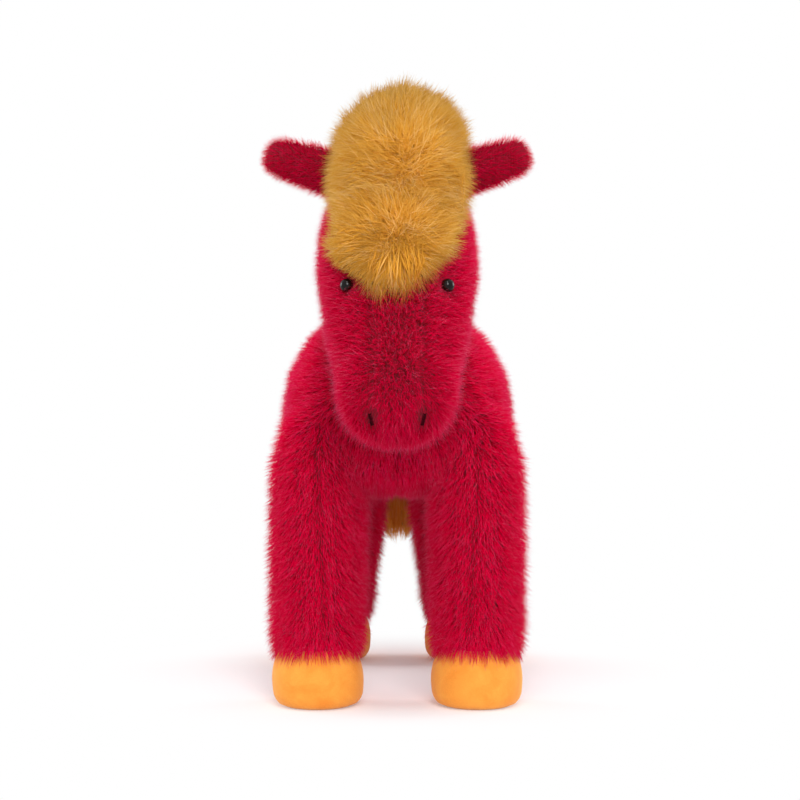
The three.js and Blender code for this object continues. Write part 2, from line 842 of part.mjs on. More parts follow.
// Turns a form about the neck hinge, to clear what the neck would meet when it nods.
function nodded(form, degrees) {
  const moved = form.getMesh();
  const geometry = new THREE.BufferGeometry();
  geometry.setAttribute('position', new THREE.BufferAttribute(moved.vertProperties, 3));
  geometry.setIndex(new THREE.BufferAttribute(moved.triVerts, 1));
  geometry.translate(0, -neckPivotY, -neckPivotHeight);
  geometry.rotateX(radians(degrees));
  geometry.translate(0, neckPivotY, neckPivotHeight);
  return solid(geometry);
}

const crest = mane.intersect(behindTurn(-far, neckTopHeight - seamGap))
  .subtract(neckForm(-seamGap))
  .subtract(nodded(bodyForm(-seamGap), -neckNod[0]))
  .subtract(bodyForm(-seamGap));
addPiece('crest_mane', crest, colours.goldPile);

// Tail: a stuffed dock in the rump, a woven core and the long pile that hangs on it
const dockStub = prism(circle(dockRadius, hubSides), new THREE.Vector3(0, dockY, dockHeight),
  Z, X, dockFace - seamGap - dockY);
addPiece('tail_dock', hingeHub(dockHinge).add(dockStub), colours.crimsonFur);
const coreTip = tailTip + tailHalfWidth;
const coreTop = dockHeight + tailCoreRadius;
const coreForm = clear => tailForm(
  tailCoreRadius + clear, tailCoreRadius + clear, coreTop + clear, coreTip - clear,
).add(prism(
  circle(tailCoreRadius + clear, limbSides),
  new THREE.Vector3(0, dockFace - clear, dockHeight), Z, X, tailMiddleY - dockFace + clear,
));
const behindDock = block(-far, far, dockFace, far, -far, far);
const tail = tailForm(tailHalfWidth, tailHalfDepth, tailTop, tailTip).intersect(behindDock);
addPiece('tail_core', coreForm(0), colours.goldPile);
addPiece('tail_pile', tail.subtract(coreForm(seamGap)), colours.goldPile);

export default horse;
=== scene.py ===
# %% [markdown]
# # A plush horse
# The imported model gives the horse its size, its joints and its plain solids. This lesson
# dresses them: short crimson pile over the body, long gold pile for the mane and tail, soft
# suedette hooves, bead eyes and stitched nostrils. Everything is in metres in the frame's own
# axes: the horse faces -Y, and its left side is +X.

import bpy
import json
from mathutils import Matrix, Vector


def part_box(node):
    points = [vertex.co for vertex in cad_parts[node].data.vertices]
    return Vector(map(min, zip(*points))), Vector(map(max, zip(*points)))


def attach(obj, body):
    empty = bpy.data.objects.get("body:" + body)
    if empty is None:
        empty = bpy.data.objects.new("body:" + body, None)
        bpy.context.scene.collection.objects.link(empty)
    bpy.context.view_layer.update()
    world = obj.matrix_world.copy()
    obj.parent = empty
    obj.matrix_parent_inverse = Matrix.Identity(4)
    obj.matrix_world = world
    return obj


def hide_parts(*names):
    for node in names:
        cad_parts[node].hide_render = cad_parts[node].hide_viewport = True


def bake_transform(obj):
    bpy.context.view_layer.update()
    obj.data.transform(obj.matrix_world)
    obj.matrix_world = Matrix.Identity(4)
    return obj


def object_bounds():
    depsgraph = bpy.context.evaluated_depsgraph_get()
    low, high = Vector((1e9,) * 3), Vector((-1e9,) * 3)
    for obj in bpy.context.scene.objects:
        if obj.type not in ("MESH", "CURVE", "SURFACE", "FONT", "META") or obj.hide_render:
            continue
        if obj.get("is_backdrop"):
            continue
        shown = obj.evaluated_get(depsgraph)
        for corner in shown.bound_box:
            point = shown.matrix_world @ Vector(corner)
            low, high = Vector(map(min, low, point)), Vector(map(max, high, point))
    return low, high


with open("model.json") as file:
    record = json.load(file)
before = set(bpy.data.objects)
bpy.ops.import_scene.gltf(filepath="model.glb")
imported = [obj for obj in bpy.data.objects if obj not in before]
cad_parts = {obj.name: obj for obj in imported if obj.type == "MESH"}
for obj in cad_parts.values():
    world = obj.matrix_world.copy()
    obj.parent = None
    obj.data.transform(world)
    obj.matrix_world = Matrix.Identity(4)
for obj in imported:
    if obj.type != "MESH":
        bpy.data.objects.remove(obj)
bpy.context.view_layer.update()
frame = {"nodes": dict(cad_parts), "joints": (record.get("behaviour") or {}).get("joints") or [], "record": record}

# %% Tools and units
import json
import math

import bmesh
import bpy
import numpy as np
from mathutils import Vector
from mathutils.bvhtree import BVHTree

MM = 0.001
SIDES = ("left", "right")
LEGS = ("front_left", "front_right", "rear_left", "rear_right")
nodes = frame["nodes"]
bodies = frame["record"]["behaviour"]["bodies"]
body_of_node = {node: body for body, members in bodies.items() for node in members}

# %% [markdown]
# ## Camera, light and floor
# A product shot of a toy is taken level, from a little under a metre, with soft boxes above, in
# front and a little behind on both sides, and pale walls all round. The world lights the toy and
# is plain white to the camera. Each lamp is given as the share of a white surface's brightness
# that it adds where it shines straight on, so its power follows from its distance.

# %% Camera
def in_scene(name, data):
    """A new object with this data, linked into the scene."""
    made = bpy.data.objects.new(name, data)
    bpy.context.scene.collection.objects.link(made)
    return made


LENS = 78.98
SENSOR = 36
CAMERA_AT = Vector((1.2, -868, 141)) * MM

camera = in_scene("camera", bpy.data.cameras.new("camera"))
camera.data.lens = LENS
camera.data.sensor_width = SENSOR
camera.location = CAMERA_AT
camera.rotation_euler = (math.radians(90), 0, 0)
bpy.context.scene.camera = camera
bpy.context.scene.view_settings.view_transform = "Standard"
print("camera", LENS, "mm lens")


# %% A short way to add nodes
def fill_sockets(tree, made, inputs):
    """Sets a node's inputs: a value stays a value, and a socket becomes a link."""
    for key, value in inputs.items():
        if isinstance(value, bpy.types.NodeSocket):
            tree.links.new(value, made.inputs[key])
        else:
            made.inputs[key].default_value = value


def node_maker(tree):
    """A function that adds one node: settings are its properties, inputs its values or links."""

    def node(kind, inputs=None, **settings):
        made = tree.nodes.new(kind)
        for key, value in settings.items():
            setattr(made, key, value)
        fill_sockets(tree, made, inputs or {})
        return made

    return node


def new_material(name):
    """A fresh material: a function that adds nodes to it, and one that sets its main shader."""
    material = bpy.data.materials.new(name)
    material.use_nodes = True
    tree = material.node_tree

    def finish(inputs):
        fill_sockets(tree, tree.nodes["Principled BSDF"], inputs)
        return material

    return node_maker(tree), finish


def patterned(name, dark, light, pattern, bump, depth, shader):
    """Two tones and a bump, both from one pattern on the object's own coordinates."""
    node, finish = new_material(name)
    factor = pattern(node, node("ShaderNodeTexCoord").outputs["Object"])
    tone = node("ShaderNodeMix", {"Factor": factor, 6: (*dark, 1), 7: (*light, 1)},
                data_type="RGBA").outputs[2]
    raised = node("ShaderNodeBump", {"Height": factor, "Strength": bump, "Distance": depth})
    return finish({"Base Color": tone, "Normal": raised.outputs[0], **shader})


# %% World and lamps
WORLD_SHARE = 0.69
SUBJECT = Vector((0, 0, 0.15))
LAMPS = {  # place, width and share of brightness
    "top_box": ((0, -0.75, 1.10), 0.28, 0.20),
    "front_box": ((0.15, -1.5, 0.80), 0.6, 0.52),
    "left_edge": ((1.1, 0.35, 0.45), 0.5, 0.34),
    "right_edge": ((-1.1, 0.35, 0.45), 0.5, 0.34),
}


def seen_ray(node):
    """1 for rays that show a background: from the camera, and off metal or through glass."""
    path = node("ShaderNodeLightPath")
    glossy = node("ShaderNodeMath", {0: path.outputs["Is Camera Ray"],
                                     1: path.outputs["Is Glossy Ray"]}, operation="MAXIMUM")
    both = node("ShaderNodeMath", {0: glossy.outputs[0],
                                   1: path.outputs["Is Transmission Ray"]}, operation="MAXIMUM")
    return both.outputs[0]


world = bpy.data.worlds.new("studio")
world.use_nodes = True
world.node_tree.nodes.clear()
node = node_maker(world.node_tree)
lit = node("ShaderNodeBackground", {"Color": (1, 1, 1, 1), "Strength": WORLD_SHARE})
seen = node("ShaderNodeBackground", {"Color": (1, 1, 1, 1), "Strength": 1})
mixed = node("ShaderNodeMixShader", {0: seen_ray(node), 1: lit.outputs[0], 2: seen.outputs[0]})
node("ShaderNodeOutputWorld", {0: mixed.outputs[0]})
bpy.context.scene.world = world

for name, (place, width, share) in LAMPS.items():
    lamp = in_scene(name, bpy.data.lights.new(name, "AREA"))
    aim = SUBJECT - Vector(place)
    lamp.data.size = width
    lamp.data.energy = share * (math.pi * aim.length) ** 2
    lamp.location = place
    lamp.rotation_euler = aim.to_track_quat("-Z", "Y").to_euler()
    print(name, round(lamp.data.energy, 1), "W")

# %% Floor that keeps a faint shadow
FLOOR_HALF = 6.0
SHADOW_MIDDLE = (0, 0.03, 0)
SHADOW_NEAR, SHADOW_FAR = 0.06, 0.17
SHADE_SHARE = 0.95
# Pinkish grey painted shade for the floor near the toy.
PAINTED_SHADE_TINT = (0.97, 0.915, 0.925, 1)


def floor_material():
    """White paper that glows as if evenly lit, but follows the light near the toy, where its colour fades to a
    painted pinkish grey shade.
    """
    material = bpy.data.materials.new("pale_floor")
    material.use_nodes = True
    material.node_tree.nodes.clear()
    node = node_maker(material.node_tree)
    place = node("ShaderNodeTexCoord").outputs["Object"]
    away = node("ShaderNodeVectorMath", {0: place, 1: SHADOW_MIDDLE}, operation="DISTANCE")
    away = away.outputs["Value"]
    fade = node("ShaderNodeMapRange", {"Value": away, "From Min": SHADOW_NEAR,
                                       "From Max": SHADOW_FAR, "To Min": SHADE_SHARE,
                                       "To Max": 0.0}, interpolation_type="SMOOTHSTEP").outputs[0]
    rest = node("ShaderNodeMath", {0: 1.0, 1: fade}, operation="SUBTRACT").outputs[0]
    # Near the toy the floor's colour fades to the painted pinkish shade.
    tint = node("ShaderNodeMix", {"Factor": fade, 6: (0, 0, 0, 1), 7: PAINTED_SHADE_TINT},
                data_type="RGBA").outputs[2]
    matt = node("ShaderNodeBsdfDiffuse", {"Color": tint})
    shine = node("ShaderNodeEmission", {"Color": (1, 1, 1, 1), "Strength": rest})
    both = node("ShaderNodeAddShader", {0: matt.outputs[0], 1: shine.outputs[0]})
    node("ShaderNodeOutputMaterial", {0: both.outputs[0]})
    return material


def mesh_object(name, points, faces, edges=()):
    """A new object at the origin, with its place in its mesh."""
    mesh = bpy.data.meshes.new(name)
    faces = [tuple(int(i) for i in f) for f in faces]
    mesh.from_pydata([tuple(p) for p in points], edges, faces)
    return in_scene(name, mesh)


corners = [(x * FLOOR_HALF, y * FLOOR_HALF, 0) for x, y in ((-1, -1), (1, -1), (1, 1), (-1, 1))]
floor = mesh_object("floor", corners, [(0, 1, 2, 3)])
floor.data.materials.append(floor_material())
floor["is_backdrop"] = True
print("floor", 2 * FLOOR_HALF, "m wide")

# %% [markdown]
# ## The coat as one surface
# A plush body is sewn from flat panels and stuffed until the seams pull in. Its pile hides
# most of them, so the fur has to run on from panel to panel. The panels of the frame are
# wrapped in one even skin with a voxel remesh, which closes the small gaps between them, and
# smoothed until the facets are gone. Each patch of the skin then remembers its nearest panel,
# and so the body that the panel belongs to.


# %% Wrap CAD nodes in one smooth skin
def triangles_of(names):
    """Corners, triangles and the owner of each triangle, for several CAD nodes."""
    points, faces, owners = [], [], []
    for name in names:
        mesh = nodes[name].data
        mesh.calc_loop_triangles()
        first = len(points)
        points.extend(v.co.copy() for v in mesh.vertices)
        faces.extend([first + i for i in t.vertices] for t in mesh.loop_triangles)
        owners.extend([name] * len(mesh.loop_triangles))
    return points, faces, owners


def tree_of(names):
    """A search tree over several CAD nodes, and the owner of each of its triangles."""
    points, faces, owners = triangles_of(names)
    return BVHTree.FromPolygons(points, faces), owners


def nearest_node(places, names):
    """The CAD node that lies nearest to each place."""
    tree, owners = tree_of(names)
    return np.array([owners[tree.find_nearest(Vector(p))[2]] for p in places])


def bake_modifiers(made):
    """The object's final mesh, as a plain mesh without modifiers. The object itself goes."""
    graph = bpy.context.evaluated_depsgraph_get()
    mesh = bpy.data.meshes.new_from_object(made.evaluated_get(graph))
    bpy.data.objects.remove(made)
    return mesh


def read_mesh(mesh):
    """Points, outward normals and quads of a mesh as arrays."""
    points = np.empty(len(mesh.vertices) * 3)
    mesh.vertices.foreach_get("co", points)
    normals = np.empty(len(mesh.vertices) * 3, np.float32)
    mesh.vertex_normals.foreach_get("vector", normals)
    faces = np.array([tuple(p.vertices) for p in mesh.polygons])
    return points.reshape(-1, 3), normals.reshape(-1, 3).astype(float), faces


def edges_of(faces):
    """Pairs of neighbours along the faces' sides."""
    return np.concatenate([faces[:, [i, (i + 1) % faces.shape[1]]] for i in range(faces.shape[1])])


def largest_shell(points, normals, faces):
    """Keeps the outer shell and drops any closed bubble inside it."""
    label = np.arange(len(points))
    a, b = edges_of(faces).T
    while True:
        low = np.minimum(label[a], label[b])
        after = label.copy()
        np.minimum.at(after, a, low)
        np.minimum.at(after, b, low)
        after = after[after]
        if (after == label).all():
            break
        label = after
    keep = label == np.bincount(label).argmax()
    index = np.cumsum(keep) - 1
    return points[keep], normals[keep], index[faces[keep[faces[:, 0]]]]


def felt(names, voxel, rounds):
    """One closed smooth skin around several CAD nodes."""
    made = mesh_object("felt", *triangles_of(names)[:2])
    remesh = made.modifiers.new("remesh", "REMESH")
    remesh.mode = "VOXEL"
    remesh.voxel_size = voxel
    smooth = made.modifiers.new("smooth", "SMOOTH")
    smooth.factor = 0.5
    smooth.iterations = rounds
    mesh = bake_modifiers(made)
    skin = largest_shell(*read_mesh(mesh))
    bpy.data.meshes.remove(mesh)
    return skin


# %% The coat
COAT_VOXEL = 2.0 * MM
COAT_ROUNDS = 14
COVERED = ("torso", "neck", "head", *("leg_" + leg for leg in LEGS))


def is_panel(name):
    """True for a piece of the fur cover, which the coat shows."""
    return (name.startswith(("torso_side", "underbody", "neck_cover", "head_side", "face_gusset"))
            or name.endswith("_panel"))


def is_stuffing(name):
    return name.endswith("_filling")


panels = [n for body in COVERED for n in bodies[body] if is_panel(n)]
stuffing = [n for body in COVERED for n in bodies[body] if is_stuffing(n)]
eye_pieces = [n for n in bodies["head"] if n.startswith("eye_")]
coat, coat_normal, coat_faces = felt(panels + stuffing + eye_pieces, COAT_VOXEL, COAT_ROUNDS)
face_owner = nearest_node(coat[coat_faces].mean(1), panels)
owner = nearest_node(coat, panels)
body = np.array([body_of_node[n] for n in owner])
coat_tree = BVHTree.FromPolygons([Vector(p) for p in coat], coat_faces.tolist())
print(len(coat), "coat points;", {n: int((face_owner == n).sum()) for n in panels[:6]})


# %% [markdown]
# ## Where the pile lies, thins and parts
# The nap is the way that pile lies down. On this toy it runs down the legs, back along the
# body, down the face and out along the ears. A seam pulls the skin in, and the pile on each
# side leans away from it, which is why the leg seams read as dark lines. The same fields carry
# this for every point of a skin: nap (which way, and how far it leans), reach (how long), and
# cover (how dense). On the coat, sink says how much deeper or higher its roots lie.


# %% Small field tools
def step(low, high, value):
    """A smooth rise from 0 at low to 1 at high."""
    t = np.clip((value - low) / (high - low), 0, 1)
    return t * t * (3 - 2 * t)


def fall(low, high, value):
    """A smooth fall from 1 at low to 0 at high."""
    return 1 - step(low, high, value)


def how_far(points, *places):
    """How far each point is from the nearest of the places."""
    return np.min([np.linalg.norm(points - place, axis=1) for place in places], axis=0)


def flat_on(vectors, normals):
    """The part of each vector that lies in the surface."""
    return vectors - normals * (vectors * normals).sum(1, keepdims=True)


def unit(vectors):
    length = np.linalg.norm(vectors, axis=1, keepdims=True)
    return vectors / np.maximum(length, 1e-9)


def spread(values, faces, rounds):
    """Averages a field with its neighbours along the skin."""
    a, b = edges_of(faces).T
    count = np.bincount(a, minlength=len(values)) + np.bincount(b, minlength=len(values))
    for _ in range(rounds):
        total = np.zeros_like(values)
        np.add.at(total, a, values[b])
        np.add.at(total, b, values[a])
        values = 0.5 * values + 0.5 * total / count.reshape(-1, *[1] * (values.ndim - 1))
    return values


def middle(node_name):
    low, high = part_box(node_name)
    return np.array((low + high) / 2)


# %% Lay the nap
LEAN, HEAD_LEAN = 0.85, 0.6
FAN = 0.12
FAN_FROM = 20 * MM
NAP_ROUNDS = 12
head_axis = unit((middle("nostril_stitch_left") - middle("eye_left"))[None] * [[0, 1, 1]])[0]
HEAD_LIE = head_axis + np.array([0, 0.1, -0.25])
LIE = {"torso": np.array([0, 0.35, -1]), "neck": np.array([0, 0.3, -1]), "head": HEAD_LIE}
LEG_LIE = np.array([0, 0.08, -1])

nap = np.array([LIE.get(b, LEG_LIE) for b in body], float)
outward = np.zeros_like(nap)
outward[:, 0] = np.sign(coat[:, 0]) * step(0, FAN_FROM, np.abs(coat[:, 0]))
nap = unit(nap) + FAN * outward * (body == "head")[:, None]
nap = spread(nap, coat_faces, NAP_ROUNDS)
nap = unit(flat_on(nap, coat_normal)) * np.where(body == "head", HEAD_LEAN, LEAN)[:, None]
reach = np.ones(len(coat))
cover = np.ones(len(coat))
sink = np.zeros(len(coat))
print("nap over", len(nap), "points")

# %% Part the pile at the seams
SEAM_HALF = 4.0 * MM
SEAM_DEPTH = 1.0 * MM
SEAM_DRIFT, DRIFT_FALL = 5 * MM, (10 * MM, 130 * MM)
SEAM_LINE = (0.2 * MM, 1.0 * MM)
SEAM_TURN, SEAM_TRIM, SEAM_THIN = 0.35, 0.22, 0.4
LEG_SEAM, BODY_SEAM, GUSSET_SEAM, BACK_SEAM = 0.7, 0.6, 0.55, 0.8
FACES_FRONT = -0.2
HEM_BELOW, HEM_ABOVE = 1 * MM, 13 * MM
X_AXIS = np.array([1.0, 0.0, 0.0])
seam_gap = np.full(len(coat), 1.0)
seam_side = np.zeros_like(coat)
seam_strength = np.zeros(len(coat))


def add_seam(here, offset, axis, strength):
    """A seam where offset is zero: the pile leans to its own side along the axis."""
    near = here & (np.abs(offset) < seam_gap)
    seam_gap[near] = np.abs(offset)[near]
    seam_side[near] = (np.sign(offset)[:, None] * axis)[near]
    seam_strength[near] = strength


for leg in LEGS:
    on_leg = np.char.startswith(owner.astype(str), leg)
    sole_x = middle(leg + "_hoof_sole")[0]
    drift = np.sign(sole_x) * SEAM_DRIFT * fall(*DRIFT_FALL, coat[:, 2])
    add_seam(on_leg, coat[:, 0] - sole_x + drift, X_AXIS, LEG_SEAM)
add_seam(np.isin(body, ("torso", "neck")), coat[:, 0], X_AXIS, BODY_SEAM)
off_gusset = np.abs(coat[:, 0]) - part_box("face_gusset")[1].x
in_front = coat_normal[:, 1] < FACES_FRONT
add_seam((body == "head") & in_front, off_gusset, np.sign(coat[:, :1]) * X_AXIS, GUSSET_SEAM)
add_seam((body == "head") & ~in_front, coat[:, 0], X_AXIS, BACK_SEAM)

hem = np.array(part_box("front_left_hoof_cup")[1])[2]
low_pile = step(hem - HEM_BELOW, hem + HEM_ABOVE, coat[:, 2])
near_seam = fall(0, SEAM_HALF, seam_gap) * seam_strength * low_pile
nap += flat_on(seam_side, coat_normal) * near_seam[:, None] * SEAM_TURN
reach *= 1 - SEAM_TRIM * near_seam
cover *= 1 - SEAM_THIN * fall(*SEAM_LINE, seam_gap) * seam_strength
sink += SEAM_DEPTH * near_seam
print(int((near_seam > 0.5).sum()), "points beside a seam")

# %% Trim the pile at the hems
HEM_MORE = 0.9
HEM_LIE = 0.7
HEM_REACH = 1.02
on_leg = np.char.startswith(body.astype(str), "leg")
reach *= np.where(on_leg, HEM_REACH - (HEM_REACH - 1) * low_pile, 1)
nap *= np.where(on_leg, 1 + HEM_LIE * (1 - low_pile), 1)[:, None]
cover *= np.where(on_leg, step(hem - 2.5 * MM, hem - 0.5 * MM, coat[:, 2]), 1)
cover *= np.where(on_leg, 1 + HEM_MORE * (1 - low_pile), 1)

# %% Puff the muzzle and the cheeks
MUZZLE_PUFF, CHEEK_PUFF = 1.5 * MM, 1.2 * MM
MUZZLE_FALL = (18 * MM, 42 * MM)
CHEEK_RISE, CHEEK_FALL = (184 * MM, 200 * MM), (218 * MM, 236 * MM)
nose = (middle("nostril_stitch_left") + middle("nostril_stitch_right")) / 2
to_nose = how_far(coat, nose)
sink -= MUZZLE_PUFF * fall(*MUZZLE_FALL, to_nose) * (body == "head")
cheek = step(*CHEEK_RISE, coat[:, 2]) * fall(*CHEEK_FALL, coat[:, 2])
sink -= CHEEK_PUFF * cheek * step(0.5, 0.9, np.abs(coat_normal[:, 0])) * (body == "head")

# %% Trim the pile at the eyes and nostrils
EYE_HOLLOW, EYE_LIFT, EYE_TRIM = 10 * MM, 0.6 * MM, 0.38
STITCH_HOLLOW, STITCH_DEPTH, STITCH_TRIM = 6 * MM, 1.4 * MM, 0.5
for side in SIDES:
    off = how_far(coat, middle("eye_" + side))
    reach *= 1 - EYE_TRIM * fall(3 * MM, EYE_HOLLOW, off)
    cover *= step(2.4 * MM, 3.0 * MM, off)
    sink -= EYE_LIFT * fall(4 * MM, EYE_HOLLOW, off)
    low, high = (np.array(v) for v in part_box("nostril_stitch_" + side))
    off = np.linalg.norm(coat - np.clip(coat, low, high), axis=1)
    reach *= 1 - STITCH_TRIM * fall(0, STITCH_HOLLOW, off)
    cover *= step(0.1 * MM, 0.8 * MM, off)
    sink += STITCH_DEPTH * fall(0, STITCH_HOLLOW, off)
print("reach", round(reach.min(), 2), "to", round(reach.max(), 2))

# %% No pile under the mane
MANE_NODES = ("forelock", "crest_mane")
mane_tree, _ = tree_of(MANE_NODES)
THIN, THICK = 6 * MM, 10 * MM
MANE_NEAR = 3 * MM
NUDGE = 0.05 * MM


def mane_over(place, normal):
    """How thick the mane lies over a point of the coat."""
    start, way = Vector(place), Vector(normal)
    under, _, _, near = mane_tree.ray_cast(start, way, MANE_NEAR)
    if under is None:
        return 0.0
    out = mane_tree.ray_cast(under + NUDGE * way, way)
    return near + (out[3] or 0.0)


over = np.array([mane_over(p, n) for p, n in zip(coat, coat_normal)])
cover *= fall(THIN, THICK, over)
print(int((cover < 0.5).sum()), "coat points are bare")

# %% [markdown]
# ## One tree for all the pile
# Real pile is thousands of fine fibres, each a little different, that stick together in small
# tufts. Geometry Nodes scatters points over a skin and puts one strand on each. A strand is a
# thin closed form of three sides: a straight spike for short pile, four triangles, and a bent
# spindle for long pile, six. Strands are turned along the nap with a slow wander and a small
# stray, and drawn towards the middle of their tuft, which a Voronoi pattern gives. Short pile
# grows from its skin. Long pile is anchored near its tips instead, so that the brushed outline
# keeps its shape and only the longest fibres stand out of it.


# %% Strands
def strand(name, root_width, middle_at, slimness):
    """A closed strand one unit long: from a point or a triangle at the root to a tip."""
    def ring(up, width, bend):
        turns = [2 * math.pi * k / 3 for k in range(3)]
        radius = slimness * width / 2
        return [(bend + radius * math.cos(t), radius * math.sin(t), up) for t in turns]

    if root_width:
        points, height, first = ring(0, root_width, 0), [0.0] * 3, 0
        faces = [(0, 2, 1)]
    else:
        points, first = [(0, 0, 0)] + ring(middle_at, 1, -0.2 * middle_at), 1
        height = [0.0] + [middle_at] * 3
        faces = [(0, 1 + (k + 1) % 3, 1 + k) for k in range(3)]
    tip = len(points)
    faces += [(first + k, first + (k + 1) % 3, tip) for k in range(3)]
    made = mesh_object(name, points + [(0, 0, 1)], faces)
    made.data.shade_smooth()
    across = [0.5] * first + [k / 2 for k in range(3)] + [0.5]
    for field, values in (("height", height + [1.0]), ("across", across)):
        made.data.attributes.new(field, "FLOAT", "POINT").data.foreach_set("value", values)
    return made


short_strand = strand("short_strand", 1.0, 0, 0.042)
fine_strand = strand("fine_strand", 1.0, 0, 0.016)
long_strand = strand("long_strand", 0, 0.45, 0.017)
loose_strand = strand("loose_strand", 0, 0.5, 0.012)
print("strand faces", len(short_strand.data.polygons), len(long_strand.data.polygons))


# %% Node trees for geometry
def new_tree(name, inputs):
    """A tree with named inputs and one geometry output, with a way to add nodes to it."""
    tree = bpy.data.node_groups.new(name, "GeometryNodeTree")
    for label, kind, value in inputs:
        socket = tree.interface.new_socket(label, in_out="INPUT", socket_type=kind)
        if value is not None:
            socket.default_value = value
    tree.interface.new_socket("Geometry", in_out="OUTPUT", socket_type="NodeSocketGeometry")
    node = node_maker(tree)
    return tree, node, node("NodeGroupInput").outputs


def run_tree(name, made, tree, values):
    """Puts an object through a tree. What comes out is one plain mesh, and the object goes."""
    sockets = {item.name: item.identifier for item in tree.interface.items_tree
               if item.in_out == "INPUT"}
    steps = made.modifiers.new(tree.name, "NODES")
    steps.node_group = tree
    for key, value in values.items():
        steps[sockets[key]] = value
    mesh = bake_modifiers(made)
    mesh.name = name
    print(name, len(mesh.polygons), "faces")
    return in_scene(name, mesh)


# %% The pile tree
PILE_INPUTS = [  # name, socket and start value
    ("Geometry", "NodeSocketGeometry", None),
    ("Strand", "NodeSocketObject", None),
    ("Finish", "NodeSocketMaterial", None),
    ("Strands per square metre", "NodeSocketFloat", 1.2e6),
    ("Length", "NodeSocketFloat", 0.009),
    ("Shortest", "NodeSocketFloat", 0.72),
    ("Longest", "NodeSocketFloat", 1.12),
    ("Wander", "NodeSocketFloat", 0.35),
    ("Wander size", "NodeSocketFloat", 0.012),
    ("Stray", "NodeSocketFloat", 0.15),
    ("Tuft size", "NodeSocketFloat", 0.0025),
    ("Tuft pull", "NodeSocketFloat", 0.5),
    ("Tip anchor", "NodeSocketFloat", 0.0),
    ("Seed", "NodeSocketInt", 1),
]
SHADE_SIZE = 9 * MM


